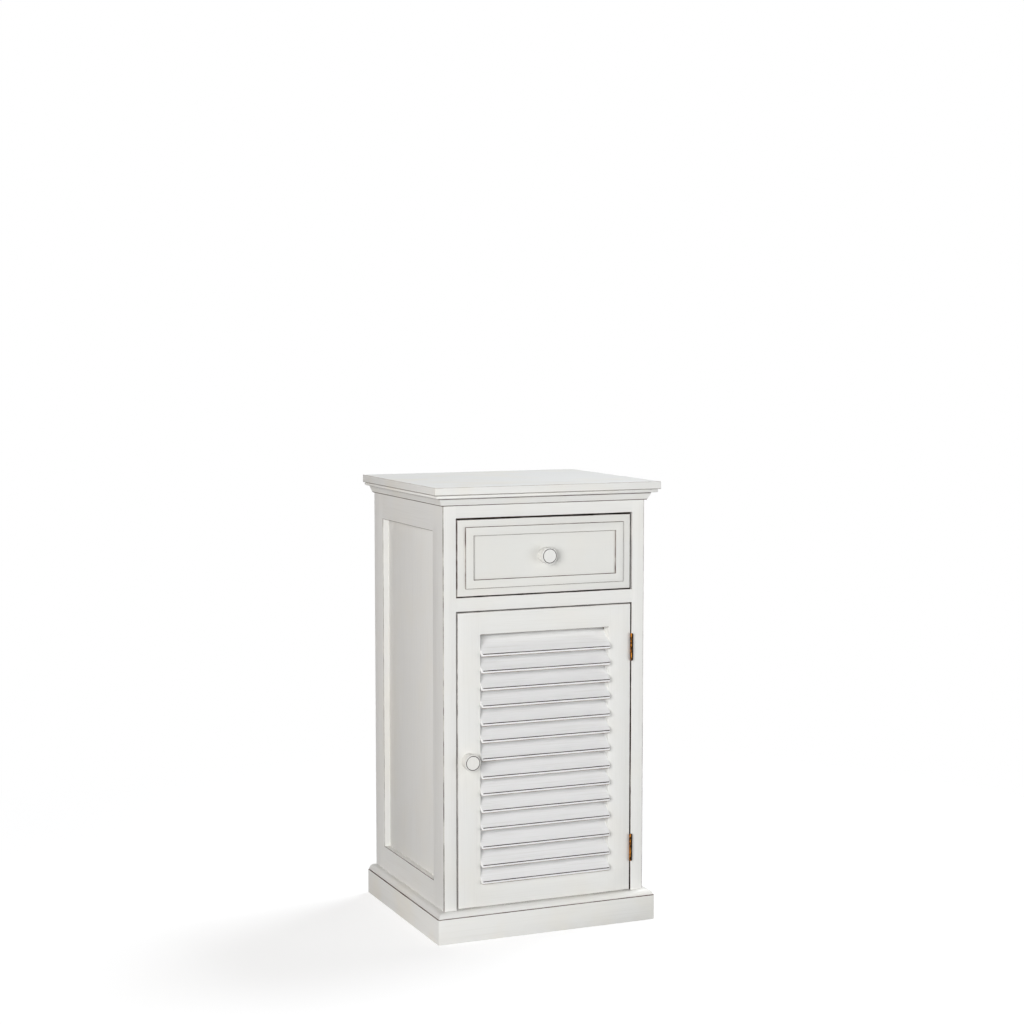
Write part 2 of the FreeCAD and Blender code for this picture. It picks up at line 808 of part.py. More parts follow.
def door_nodes():
    """The pieces that swing with the door."""
    nodes = {
        "door_stile_left": knob_stile(),
        "door_stile_right": hinge_stile(),
        "door_rail_top": door_rail("door_rail_top", 0),
        "door_rail_bottom": door_rail("door_rail_bottom", door_thickness * math.tan(slope)),
        "door_knob": knob(door_knob_x, door_mid),
        "door_knob_screw": knob_screw(door_knob_x, door_mid, door_thickness),
        "catch_strike": catch_strike(),
        "hinge_door_leaves": hinge_leaves(-1),
        "hinge_door_screws": Part.makeCompound(hinge_screws(-1)),
    }
    for index, arris_z in enumerate(slat_arris_heights(), start=1):
        nodes["louvre_%02d" % index] = slat(arris_z)
    return nodes


def main():
    """Build every node and write one file for each."""
    os.makedirs("parts", exist_ok=True)
    for nodes in (carcass_nodes(), drawer_nodes(), door_nodes()):
        for name, shape in nodes.items():
            shape.exportStep(os.path.join("parts", name + ".step"))


main()
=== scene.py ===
import logging
import math
from dataclasses import dataclass, field
from enum import Enum, IntEnum
from typing import Any, Callable, Sequence

import bpy
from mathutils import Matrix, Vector


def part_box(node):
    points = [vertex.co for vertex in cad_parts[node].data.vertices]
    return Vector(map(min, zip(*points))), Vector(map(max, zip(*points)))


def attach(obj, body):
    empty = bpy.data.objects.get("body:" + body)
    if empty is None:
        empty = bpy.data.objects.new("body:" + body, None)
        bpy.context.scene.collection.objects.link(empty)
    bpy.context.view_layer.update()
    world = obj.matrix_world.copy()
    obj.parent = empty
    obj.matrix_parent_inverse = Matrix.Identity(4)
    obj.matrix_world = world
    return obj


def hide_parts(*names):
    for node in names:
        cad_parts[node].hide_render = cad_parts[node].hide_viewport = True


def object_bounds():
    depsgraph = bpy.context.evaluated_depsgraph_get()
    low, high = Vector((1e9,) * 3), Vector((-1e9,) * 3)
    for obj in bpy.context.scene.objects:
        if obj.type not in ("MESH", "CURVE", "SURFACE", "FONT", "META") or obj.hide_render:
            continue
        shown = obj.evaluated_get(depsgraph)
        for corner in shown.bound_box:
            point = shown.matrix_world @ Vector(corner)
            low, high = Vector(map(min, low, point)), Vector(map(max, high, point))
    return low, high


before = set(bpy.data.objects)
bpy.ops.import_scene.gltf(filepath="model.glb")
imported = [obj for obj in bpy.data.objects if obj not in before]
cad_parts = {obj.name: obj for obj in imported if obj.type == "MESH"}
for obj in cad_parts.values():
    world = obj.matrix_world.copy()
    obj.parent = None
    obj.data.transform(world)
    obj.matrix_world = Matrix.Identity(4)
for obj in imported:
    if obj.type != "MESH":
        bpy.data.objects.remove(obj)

CAD_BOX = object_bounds()
MM = 0.001
# Millimetres within which two places count as the same
CLOSE = 0.05
# Part of a unit direction that lies on an axis, past which an edge runs or a face looks along that axis
ALONG = 0.99
log = logging.getLogger("louvred_cabinet")

Point = tuple[float, float, float]
Span = tuple[float, float]
Places = tuple[float, ...]
Material = bpy.types.Material
Tree = bpy.types.NodeTree
Socket = bpy.types.NodeSocket
# A test on an edge or a face: its middle in millimetres, and its direction or normal
Test = Callable[[Vector, Vector], bool]

# Sockets of a Mix node that blends two colours
FACTOR, FIRST, SECOND, BLENDED = 0, 6, 7, 2
# Values between which nearly all of a noise pattern lies
NOISE_SPAN = {"From Min": 0.3, "From Max": 0.7}


class Grain(Enum):
    """The axis that the wood grain and the brush strokes of a piece run along."""

    X = 0
    Y = 1
    Z = 2


class Body(Enum):
    """The bodies of the cabinet, each of which moves as one."""

    CARCASS = "carcass"
    DRAWER = "drawer"
    DOOR = "door"


class Side(Enum):
    """The left or right half of the cabinet, as the sign of X."""

    LEFT = -1
    RIGHT = 1

    @property
    def word(self) -> str:
        """The side as it stands in a piece's name."""
        return self.name.lower()


class Run(Enum):
    """The faces of the cabinet that a moulding runs along."""

    FRONT = "front"
    LEFT = "left"
    RIGHT = "right"


class Level(Enum):
    """The heights at which the frame has rails."""

    TOP = "top"
    MIDDLE = "middle"
    BOTTOM = "bottom"


class Batch(Enum):
    """Batches of paint, each with its tone and the share of it that has yellowed."""

    FRAME = ("#E9E9E6", 0.2)
    DRAWER = ("#E3E3DF", 0.2)
    MOULDING = ("#E9E9E6", 0.45)
    # Paler than the frame: partly the slats' own cooler white, partly painted light that offsets the shade
    # between the slats
    SLAT = ("#F5F5F5", 0.0)


class Coat(IntEnum):
    """Material slots of a painted piece."""

    PAINT = 0
    RUBBED = 1
    EASED = 2
    STAIN = 3
    WORN = 4
    GLAZED = 5
    BARE = 6


class Element(Enum):
    """What edit mode selects, as its switches for vertices, edges and faces."""

    VERTEX = (True, False, False)
    EDGE = (False, True, False)
    FACE = (False, False, True)


# Colours and shader nodes

def linear(hex_code: str) -> tuple[float, float, float, float]:
    """Turn an sRGB hex colour into a linear one.

    Args:
        hex_code: A colour such as "#E8E6E0".

    Returns:
        Linear red, green and blue, and an alpha of 1.
    """
    channels = [int(hex_code[i:i + 2], 16) / 255 for i in (1, 3, 5)]
    lit = [c / 12.92 if c <= 0.04045 else ((c + 0.055) / 1.055) ** 2.4 for c in channels]
    return (lit[0], lit[1], lit[2], 1.0)


def stretch(grain: Grain, streak_mm: Span) -> list[float]:
    """Work out a pattern scale whose unit is one streak of the grain.

    Args:
        grain: The axis that the streaks run along.
        streak_mm: Width and length of a streak.

    Returns:
        The scale along X, Y and Z.
    """
    scale = [1 / (streak_mm[0] * MM)] * 3
    scale[grain.value] = 1 / (streak_mm[1] * MM)
    return scale


def add_node(tree: Tree, kind: str, inputs: dict[Any, Any] | None = None, **settings: Any) -> bpy.types.Node:
    """Add a shader node with its settings and links.

    Args:
        tree: The node tree that gets the node.
        kind: Type name of the node, less the "ShaderNode" that each begins with.
        inputs: Socket name or number to a value, a socket that feeds it, or a node whose first output does.
        settings: Properties of the node itself.

    Returns:
        The new node.
    """
    made = tree.nodes.new("ShaderNode" + kind)
    for name, value in settings.items():
        setattr(made, name, value)
    for key, value in (inputs or {}).items():
        if isinstance(value, bpy.types.Node):
            value = value.outputs[0]
        if isinstance(value, Socket):
            tree.links.new(value, made.inputs[key])
        else:
            made.inputs[key].default_value = value
    return made


# Finishes

@dataclass(frozen=True)
class Finish:
    """A finish; each kind below lays out the pattern of its own surface.

    Attributes:
        name: Common name of the material and how it was worked.
    """

    name: str

    def build(self) -> Material:
        """Make the material of this finish.

        Returns:
            The material.
        """
        material = bpy.data.materials.new(self.name)
        material.use_nodes = True
        tree = material.node_tree
        tree.nodes.clear()
        place = add_node(tree, "TexCoord").outputs["Object"]
        shader = add_node(tree, "BsdfPrincipled", self.surface(tree, place))
        add_node(tree, "OutputMaterial", {"Surface": shader})
        return material

    def surface(self, tree: Tree, place: Socket) -> dict[str, Any]:
        """Lay out the nodes that make the pattern.

        Args:
            tree: The material's node tree.
            place: The place on the object.

        Returns:
            Values and outputs for the sockets of the shader.
        """
        raise NotImplementedError


@dataclass(frozen=True)
class SatinPaint(Finish):
    """Satin acrylic paint, brushed on: warm white, faint strokes along the grain, a little cream with age.

    Attributes:
        grain: The way that the brush went.
        colour: The paint where it is thick.
        ageing: How far the cream patches go, from 0 to 1.
        thin: The paint where the brush left less of it.
        cream: The paint where it has yellowed.
        stroke_mm: Width and length of a brush stroke, as drawn.
        patch_mm: Size of the yellowed patches.
    """

    grain: Grain
    colour: str
    ageing: float
    thin: str = "#E2E1DD"
    cream: str = "#EAE5D8"
    # Strokes are near 1 mm wide in life, and drawn wider so that they show
    stroke_mm: Span = (2.4, 120.0)
    patch_mm: float = 90.0

    def surface(self, tree: Tree, place: Socket) -> dict[str, Any]:
        """Lay brush strokes over slow patches of cream.

        Args:
            tree: The material's node tree.
            place: The place on the object.

        Returns:
            Values and outputs for the sockets of the shader.
        """
        brushed = add_node(tree, "Mapping", {"Vector": place, "Scale": stretch(self.grain, self.stroke_mm)})
        strokes = add_node(tree, "TexNoise", {"Vector": brushed, "Scale": 1.0, "Detail": 3.0})
        patches = add_node(tree, "TexNoise",
                           {"Vector": place, "Scale": 1 / (self.patch_mm * MM), "Detail": 2.0})
        aged = add_node(tree, "MapRange",
                        {"Value": patches, "From Min": 0.45, "From Max": 0.7, "To Max": self.ageing})
        scant = add_node(tree, "MapRange",
                         {"Value": strokes, "From Min": 0.5, "From Max": 0.8, "To Max": 0.6})
        base = add_node(tree, "Mix", {FACTOR: aged, FIRST: linear(self.colour), SECOND: linear(self.cream)},
                        data_type="RGBA")
        colour = add_node(tree, "Mix",
                          {FACTOR: scant, FIRST: base.outputs[BLENDED], SECOND: linear(self.thin)},
                          data_type="RGBA")
        gloss = add_node(tree, "MapRange", {"Value": strokes, **NOISE_SPAN, "To Min": 0.42, "To Max": 0.54})
        relief = add_node(tree, "Bump", {"Strength": 0.3, "Distance": 0.1 * MM, "Height": strokes})
        return {"Base Color": colour.outputs[BLENDED], "Roughness": gloss, "Normal": relief, "IOR": 1.46}


@dataclass(frozen=True)
class RubbedPaint(Finish):
    """Paint sanded through on an arris, so that the stained wood shows along it as a thin line.

    Attributes:
        shown: Share of wood that shows where the arris is least and most worn.
        wood: The stained wood under the paint.
        paint: The paint that is left.
        wear_mm: Length over which the wear comes and goes.
    """

    shown: Span
    wood: str = "#4A342E"
    paint: str = "#DCD8D1"
    wear_mm: float = 40.0

    def surface(self, tree: Tree, place: Socket) -> dict[str, Any]:
        """Let the wear come and go along the arris.

        Args:
            tree: The material's node tree.
            place: The place on the object.

        Returns:
            Values and outputs for the sockets of the shader.
        """
        wear = add_node(tree, "TexNoise",
                        {"Vector": place, "Scale": 1 / (self.wear_mm * MM), "Detail": 4.0, "Roughness": 0.6})
        worn = add_node(tree, "MapRange", {"Value": wear, "From Min": 0.4, "From Max": 0.6,
                                           "To Min": self.shown[0], "To Max": self.shown[1]})
        colour = add_node(tree, "Mix", {FACTOR: worn, FIRST: linear(self.paint), SECOND: linear(self.wood)},
                          data_type="RGBA")
        gloss = add_node(tree, "MapRange", {"Value": worn, "To Min": 0.5, "To Max": 0.85})
        return {"Base Color": colour.outputs[BLENDED], "Roughness": gloss, "Specular IOR Level": 0.2}


@dataclass(frozen=True)
class PlanedWood(Finish):
    """Planed hardwood with a thin sealer, used where no paint reaches.

    Attributes:
        grain: The way that the grain runs.
        light: The pale early wood.
        dark: The late wood and the pores.
        growth_mm: Spacing and length of the growth lines.
        pore_mm: Width and length of a pore, as drawn.
    """

    grain: Grain
    light: str
    dark: str
    growth_mm: Span = (9.0, 350.0)
    # Pores are near 0.2 mm wide in life, and drawn wider so that they show
    pore_mm: Span = (0.9, 14.0)

    def surface(self, tree: Tree, place: Socket) -> dict[str, Any]:
        """Lay wavering lines of growth with short pores in them.

        Args:
            tree: The material's node tree.
            place: The place on the object.

        Returns:
            Values and outputs for the sockets of the shader.
        """
        figure = add_node(tree, "Mapping", {"Vector": place, "Scale": stretch(self.grain, self.growth_mm)})
        lines = add_node(tree, "TexNoise", {"Vector": figure, "Scale": 1.0, "Detail": 4.0})
        short = add_node(tree, "Mapping", {"Vector": place, "Scale": stretch(self.grain, self.pore_mm)})
        pores = add_node(tree, "TexNoise", {"Vector": short, "Scale": 1.0, "Detail": 1.0})
        late = add_node(tree, "MapRange", {"Value": lines, "From Min": 0.35, "From Max": 0.66})
        hollow = add_node(tree, "MapRange",
                          {"Value": pores, "From Min": 0.6, "From Max": 0.72, "To Max": 0.45})
        growth = add_node(tree, "Mix", {FACTOR: late, FIRST: linear(self.light), SECOND: linear(self.dark)},
                          data_type="RGBA")
        colour = add_node(tree, "Mix",
                          {FACTOR: hollow, FIRST: growth.outputs[BLENDED], SECOND: linear(self.dark)},
                          data_type="RGBA")
        gloss = add_node(tree, "MapRange", {"Value": lines, **NOISE_SPAN, "To Min": 0.52, "To Max": 0.66})
        relief = add_node(tree, "Bump", {"Strength": 0.3, "Distance": 0.1 * MM, "Height": pores}, invert=True)
        return {"Base Color": colour.outputs[BLENDED], "Roughness": gloss, "Normal": relief,
                "Specular IOR Level": 0.3}


@dataclass(frozen=True)
class CloudedMetal(Finish):
    """Bare or plated metal, clouded between a bright and a dull colour.

    Attributes:
        bright: The metal where it is worn or fresh.
        dull: The metal where it has tarnished.
        cloud_mm: Size of the clouds.
    """

    bright: str
    dull: str
    cloud_mm: float

    def surface(self, tree: Tree, place: Socket) -> dict[str, Any]:
        """Lay clouds of tarnish, duller where they are dark.

        Args:
            tree: The material's node tree.
            place: The place on the object.

        Returns:
            Values and outputs for the sockets of the shader.
        """
        cloud = add_node(tree, "TexNoise",
                         {"Vector": place, "Scale": 1 / (self.cloud_mm * MM), "Detail": 3.0})
        tarnish = add_node(tree, "MapRange", {"Value": cloud, "From Min": 0.4, "From Max": 0.6})
        colour = add_node(tree, "Mix",
                          {FACTOR: tarnish, FIRST: linear(self.bright), SECOND: linear(self.dull)},
                          data_type="RGBA")
        gloss = add_node(tree, "MapRange", {"Value": tarnish, "To Min": 0.3, "To Max": 0.52})
        return {"Base Color": colour.outputs[BLENDED], "Roughness": gloss, "Metallic": 1.0}


@dataclass(frozen=True)
class TarnishedBrass(CloudedMetal):
    """Brass of a hinge, with painted shade: a black stripe on the side of the barrel where shade falls.

    Attributes:
        axis_mm: X and Y of the barrel's axis.
        black: The painted shade.
        outwards: The way that the shaded side faces.
        black_mm: How far from the axis, along that way, the painted shade begins and is full.
    """

    axis_mm: Span
    black: str = "#120B06"
    outwards: Point = (0.8, -0.6, 0.0)
    black_mm: Span = (0.8, 1.5)

    def surface(self, tree: Tree, place: Socket) -> dict[str, Any]:
        """Lay a black stripe of painted shade over the clouded metal.

        Args:
            tree: The material's node tree.
            place: The place on the object.

        Returns:
            Values and outputs for the sockets of the shader.
        """
        sockets = super().surface(tree, place)
        axis = self.axis_mm[0] * self.outwards[0] + self.axis_mm[1] * self.outwards[1]
        begin, full = ((axis + reach) * MM for reach in self.black_mm)
        # Painted shade: the side of the barrel that faces along outwards turns black
        reach = add_node(tree, "VectorMath", {0: place, 1: self.outwards}, operation="DOT_PRODUCT")
        stripe = add_node(tree, "MapRange",
                          {"Value": reach.outputs["Value"], "From Min": begin, "From Max": full})
        colour = add_node(tree, "Mix",
                          {FACTOR: stripe, FIRST: sockets["Base Color"], SECOND: linear(self.black)},
                          data_type="RGBA")
        return {**sockets, "Base Color": colour.outputs[BLENDED]}


@dataclass(frozen=True)
class MouldedNylon(Finish):
    """Nylon with the fine grain of a spark-eroded mould.

    Attributes:
        colour: The plastic.
        shade: The plastic in the hollows of the grain.
        grain_mm: Size of the grain, as drawn.
    """

    colour: str = "#D8D2C4"
    shade: str = "#CBC4B4"
    # The grain is near 0.1 mm in life, and drawn coarser so that it shows
    grain_mm: float = 0.8

    def surface(self, tree: Tree, place: Socket) -> dict[str, Any]:
        """Lay an even, fine grain.

        Args:
            tree: The material's node tree.
            place: The place on the object.

        Returns:
            Values and outputs for the sockets of the shader.
        """
        spark = add_node(tree, "TexNoise",
                         {"Vector": place, "Scale": 1 / (self.grain_mm * MM), "Detail": 2.0})
        colour = add_node(tree, "Mix",
                          {FACTOR: spark, FIRST: linear(self.colour), SECOND: linear(self.shade)},
                          data_type="RGBA")
        gloss = add_node(tree, "MapRange", {"Value": spark, **NOISE_SPAN, "To Min": 0.42, "To Max": 0.56})
        relief = add_node(tree, "Bump", {"Strength": 0.2, "Distance": 0.05 * MM, "Height": spark})
        return {"Base Color": colour.outputs[BLENDED], "Roughness": gloss, "Normal": relief, "IOR": 1.53}


@dataclass
class Palette:
    """Every finish of the cabinet, made once."""

    paint: dict[tuple[Grain, Batch], Material] = field(default_factory=dict)
    stain: dict[Grain, Material] = field(default_factory=dict)
    bare: dict[Grain, Material] = field(default_factory=dict)
    rubbed: Material = field(init=False)
    eased: Material = field(init=False)
    worn: Material = field(init=False)
    glazed: Material = field(init=False)
    brass: Material = field(init=False)
    steel: Material = field(init=False)
    nylon: Material = field(init=False)

    def __post_init__(self) -> None:
        """Build the materials."""
        for grain in Grain:
            run = grain.name.lower()
            # Brushed paint: warm white with a soft sheen, and strokes that run along the board
            for batch in Batch:
                name = f"acrylic_paint_brushed_{batch.name.lower()}_{run}"
                self.paint[grain, batch] = SatinPaint(name, grain, *batch.value).build()
            # Stained wood: brown black, and also painted shade, so that the gaps round the door and the
            # drawer look deep
            self.stain[grain] = PlanedWood(f"mahogany_stained_{run}", grain, "#35251D", "#1D1410").build()
            # Planed wood: red brown with darker lines and pores, dull under its sealer
            self.bare[grain] = PlanedWood(f"mahogany_planed_{run}", grain, "#B98A5C", "#8E6440").build()
        # Sanded through: a dark brown line along an arris, with a little paint left in it; just under the
        # cornice's bead, along the top board's lower arrises and under the door's top rail it is also painted
        # shade
        self.rubbed = RubbedPaint("acrylic_paint_sanded_through", (0.75, 1.0)).build()
        # Sanded lightly: a brown line that comes and goes; on the drawer front's sides it is painted shade
        # for the side gaps
        self.eased = RubbedPaint("acrylic_paint_sanded_lightly", (0.25, 0.95)).build()
        # Worn through: a line near black, with hardly a break; in the knob's ring quirk it darkens the groove
        self.worn = RubbedPaint("acrylic_paint_worn_through", (0.9, 1.0), "#33282B").build()
        # Glazed: a faint line of warm brown, where glaze gathered and was wiped off; along the slats' noses
        # the same line is painted shade
        self.glazed = RubbedPaint("acrylic_paint_glazed", (0.5, 1.0), "#7D5F4C").build()
        low, high = solid_box("hinge_pins")
        axis = ((low.x + high.x) / 2, (low.y + high.y) / 2)
        # Brass: golden brown in clouds of tarnish, with painted shade in black along one side of the barrel
        self.brass = TarnishedBrass("brass_tarnished", "#AC6C24", "#341A08", 5.0, axis).build()
        # Zinc plate: pale grey and half bright, with soft clouds
        self.steel = CloudedMetal("steel_zinc_plated", "#C3C6CA", "#94989C", 5.0).build()
        # Moulded nylon: cream and dull, with a fine even grain
        self.nylon = MouldedNylon("nylon_moulded").build()

    def coats(self, grain: Grain, batch: Batch = Batch.FRAME) -> list[Material]:
        """List the materials of a painted piece in the order of Coat.

        Args:
            grain: The way that the piece was brushed.
            batch: The paint that it got.

        Returns:
            One material for each slot.
        """
        return [self.paint[grain, batch], self.rubbed, self.eased, self.stain[grain], self.worn, self.glazed,
                self.bare[grain]]


# The bench

def solid_box(node_name: str) -> tuple[Vector, Vector]:
    """The lowest and the highest corner of a solid, in millimetres."""
    low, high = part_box(node_name)
    return low / MM, high / MM


def clear_selection() -> None:
    """Leave edit mode and deselect everything."""
    if bpy.context.object is not None and bpy.context.object.mode != "OBJECT":
        bpy.ops.object.mode_set(mode="OBJECT")
    bpy.ops.object.select_all(action="DESELECT")


def arc(centre: Span, radius: float, start_deg: float, end_deg: float, steps: int) -> list[Span]:
    """Lay points along an arc.

    Args:
        centre: Middle of the circle.
        radius: Its radius.
        start_deg: Angle of the first point.
        end_deg: Angle of the last point.
        steps: Number of equal steps between them.

    Returns:
        The points, both ends included.
    """
    turn = (end_deg - start_deg) / steps
    angles = [math.radians(start_deg + turn * step) for step in range(steps + 1)]
    return [(centre[0] + radius * math.cos(a), centre[1] + radius * math.sin(a)) for a in angles]


def same(value: float, *targets: float) -> bool:
    """Whether a place in millimetres agrees with one of the others."""
    return any(abs(value - target) < CLOSE for target in targets)


def ordered(first: float, second: float) -> Span:
    """Two values as a span, the lower one first."""
    return (min(first, second), max(first, second))


@dataclass(frozen=True)
class Arris:
    """A test that picks straight edges by their place.

    Attributes:
        grain: The axis that the edges run along.
        x: Places across the cabinet where they lie, in millimetres; none for any.
        y: Places from front to back.
        z: Heights.
        within: Spans along the axis, one of which holds the middle of the edge; none for any.
    """

    grain: Grain
    x: Places = ()
    y: Places = ()
    z: Places = ()
    within: tuple[Span, ...] = ()

    def __call__(self, middle: Vector, way: Vector) -> bool:
        """Tell whether an edge is one of them.

        Args:
            middle: Its middle, in millimetres.
            way: Its direction.

        Returns:
            True if it runs along the axis at these places and within these spans.
        """
        if abs(way[self.grain.value]) <= ALONG:
            return False
        along = middle[self.grain.value]
        held = not self.within or any(low < along < high for low, high in self.within)
        wanted = zip(middle, (self.x, self.y, self.z))
        return held and all(same(at, *places) for at, places in wanted if places)


@dataclass
class Piece:
    """One painted piece on the bench, with the steps that shape and finish it.

    Attributes:
        item: The object of the piece.
        node_name: The solid that it stands for.
    """

    item: bpy.types.Object
    node_name: str

    @classmethod
    def added(cls, node_name: str) -> "Piece":
        """Take the object just added, name it and put its place into its mesh.

        Args:
            node_name: The solid that it stands for.

        Returns:
            The piece.
        """
        bpy.ops.object.transform_apply(location=True, rotation=True, scale=True)
        item = bpy.context.object
        item.name = f"{node_name}_painted"
        item.data.name = item.name
        return cls(item, node_name)

    @classmethod
    def block(cls, node_name: str, x_mm: Span, y_mm: Span, z_mm: Span) -> "Piece":
        """Saw a block, as the start of a board.

        Args:
            node_name: The solid that it stands for.
            x_mm: Low and high X.
            y_mm: Low and high Y.
            z_mm: Low and high Z.

        Returns:
            The piece.
        """
        spans = (x_mm, y_mm, z_mm)
        clear_selection()
        bpy.ops.mesh.primitive_cube_add(size=1.0, location=[sum(span) / 2 * MM for span in spans],
                                        scale=[(span[1] - span[0]) * MM for span in spans])
        return cls.added(node_name)

    @classmethod
    def swept(cls, node_name: str, outline_mm: Sequence[Point], sweep_mm: Point) -> "Piece":
        """Draw a closed flat outline and extrude it into a bar.

        Args:
            node_name: The solid that it stands for.
            outline_mm: Corners in order.
            sweep_mm: Way and length of the extrusion.

        Returns:
            The bar.
        """
        clear_selection()
        bpy.ops.mesh.primitive_circle_add(vertices=len(outline_mm), radius=MM, fill_type="NGON")
        piece = cls.added(node_name)
        for vertex, corner in zip(piece.item.data.vertices, outline_mm):
            vertex.co = [c * MM for c in corner]
        piece.edit(Element.FACE)
        bpy.ops.mesh.select_all(action="SELECT")
        bpy.ops.mesh.extrude_region_move(TRANSFORM_OT_translate={"value": [c * MM for c in sweep_mm]})
        bpy.ops.mesh.select_all(action="SELECT")
        bpy.ops.mesh.normals_make_consistent(inside=False)
        piece.leave()
        return piece

    @classmethod
    def turned(cls, node_name: str, outline_mm: Sequence[Span], foot_mm: Point, steps: int) -> "Piece":
        """Turn a piece on an axis that points to the front.

        Args:
            node_name: The solid that it stands for.
            outline_mm: Half outline as (radius, height over the foot), from axis to axis.
            foot_mm: Where the axis meets the face that the piece stands on.
            steps: Facets round the axis.

        Returns:
            The turned piece.
        """
        foot = [c * MM for c in foot_mm]
        clear_selection()
        bpy.ops.mesh.primitive_plane_add(size=MM, location=foot)
        piece = cls.added(node_name)
        piece.edit(Element.VERTEX)
        bpy.ops.mesh.select_all(action="SELECT")
        bpy.ops.mesh.merge(type="CENTER")
        for (r0, h0), (r1, h1) in zip(outline_mm, outline_mm[1:]):
            step = ((r1 - r0) * MM, (h0 - h1) * MM, 0.0)
            bpy.ops.mesh.extrude_region_move(TRANSFORM_OT_translate={"value": step})
        bpy.ops.mesh.select_all(action="SELECT")
        bpy.ops.mesh.spin(steps=steps, angle=math.tau, center=foot, axis=(0.0, 1.0, 0.0))
        bpy.ops.mesh.select_all(action="SELECT")
        bpy.ops.mesh.remove_doubles(threshold=0.01 * MM)
        bpy.ops.mesh.normals_make_consistent(inside=False)
        piece.leave()
        return piece

    def copy(self, node_name: str, lift_mm: float) -> "Piece":
        """Copy the piece with a mesh of its own.

        Args:
            node_name: The solid that the copy stands for.
            lift_mm: How far above this piece the copy goes.

        Returns:
            The copy.
        """
        self.pick()
        bpy.ops.object.duplicate(linked=False)
        bpy.context.object.location.z = lift_mm * MM
        return Piece.added(node_name)

    def pick(self) -> None:
        """Select this piece alone."""
        clear_selection()
        self.item.select_set(True)
        bpy.context.view_layer.objects.active = self.item

    def edit(self, element: Element) -> None:
        """Enter edit mode.

        Args:
            element: What is selected there.
        """
        self.pick()
        bpy.context.tool_settings.mesh_select_mode = element.value
        bpy.ops.object.mode_set(mode="EDIT")

    def leave(self) -> None:
        """Go back to object mode."""
        bpy.ops.object.mode_set(mode="OBJECT")

    def dress(self, materials: Sequence[Material]) -> None:
        """Fill the material slots.

        Args:
            materials: One for each slot, of which the first covers the piece.
        """
        self.item.data.materials.clear()
        for material in materials:
            self.item.data.materials.append(material)

    def coat(self, slot: Coat, test: Test) -> None:
        """Give some faces another finish.

        Args:
            slot: The finish.
            test: Picks the faces.
        """
        for face in self.item.data.polygons:
            if test(face.center / MM, face.normal):
                face.material_index = slot

    def deselect(self) -> None:
        """Deselect every vertex, edge and face of the mesh."""
        mesh = self.item.data
        for parts in (mesh.vertices, mesh.edges, mesh.polygons):
            parts.foreach_set("select", [False] * len(parts))

    def choose_faces(self, test: Test) -> None:
        """Enter edit mode with some faces selected.

        Args:
            test: Picks the faces.
        """
        self.deselect()
        for face in self.item.data.polygons:
            face.select = test(face.center / MM, face.normal)
        self.edit(Element.FACE)

    def bevel(self, width_mm: float, slot: Coat, test: Test, segments: int = 2) -> None:
        """Bevel some edges.

        Args:
            width_mm: Width of the bevel along each face.
            slot: Finish of the new faces.
            test: Picks the edges.
            segments: Steps round the bevel.
        """
        clear_selection()
        self.deselect()
        mesh = self.item.data
        for edge in mesh.edges:
            first, second = (mesh.vertices[i].co for i in edge.vertices)
            edge.select = test((first + second) / 2 / MM, (second - first).normalized())
        self.edit(Element.EDGE)
        bpy.ops.mesh.bevel(offset=width_mm * MM, offset_type="OFFSET", segments=segments, affect="EDGES",
                           clamp_overlap=False, material=slot)
        self.leave()

    def split(self, grain: Grain, places_mm: Sequence[float]) -> None:
        """Cut new edges round the piece, and keep it whole.

        Args:
            grain: The axis that the cuts are square to.
            places_mm: Where on that axis they are.
        """
        normal = [float(index == grain.value) for index in range(3)]
        self.edit(Element.EDGE)
        for place in places_mm:
            bpy.ops.mesh.select_all(action="SELECT")
            bpy.ops.mesh.bisect(plane_co=[n * place * MM for n in normal], plane_no=normal)
        self.leave()

    def trim(self, point_mm: Point, outward: Point) -> None:
        """Cut off what lies beyond a plane, and close the cut.

        Args:
            point_mm: A point of the plane.
            outward: The way that the waste lies.
        """
        self.edit(Element.EDGE)
        bpy.ops.mesh.select_all(action="SELECT")
        bpy.ops.mesh.bisect(plane_co=[c * MM for c in point_mm], plane_no=outward, use_fill=True,
                            clear_outer=True)
        self.leave()

    def place(self, body: Body, slot: str = "painted_wood", smooth_deg: float = 40.0) -> None:
        """Smooth the finished piece and ride it on its body, in place of its solid.

        Args:
            body: The body that it moves with.
            slot: Name of a material slot for the piece; not used.
            smooth_deg: Edges sharper than this stay sharp.
        """
        self.pick()
        bpy.ops.object.shade_smooth_by_angle(angle=math.radians(smooth_deg))
        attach(self.item, body.value)
        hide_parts(self.node_name)
        log.info("%s: %d faces, on %s", self.item.name, len(self.item.data.polygons), body.value)


# Sub-assemblies

@dataclass(frozen=True)
class CabinetSizes:
    """Sizes that several sub-assemblies share, in millimetres, the same as in the solids."""

    half_width: float = 206.0
    front: float = -178.0
    back: float = 202.0
    top: float = 850.0
    carcass_top: float = 835.5
    opening_half: float = 180.0
    door_opening: Span = (57.5, 618.0)
    drawer_opening: Span = (644.0, 791.0)
    panel_y: Span = (-125.0, 151.0)
    panel_z: Span = (105.0, 764.5)
    rail_underside: float = 13.5
    reveal: float = 2.0

    @property
    def leaf_half(self) -> float:
        """Half the width of the door."""
        return self.opening_half - self.reveal


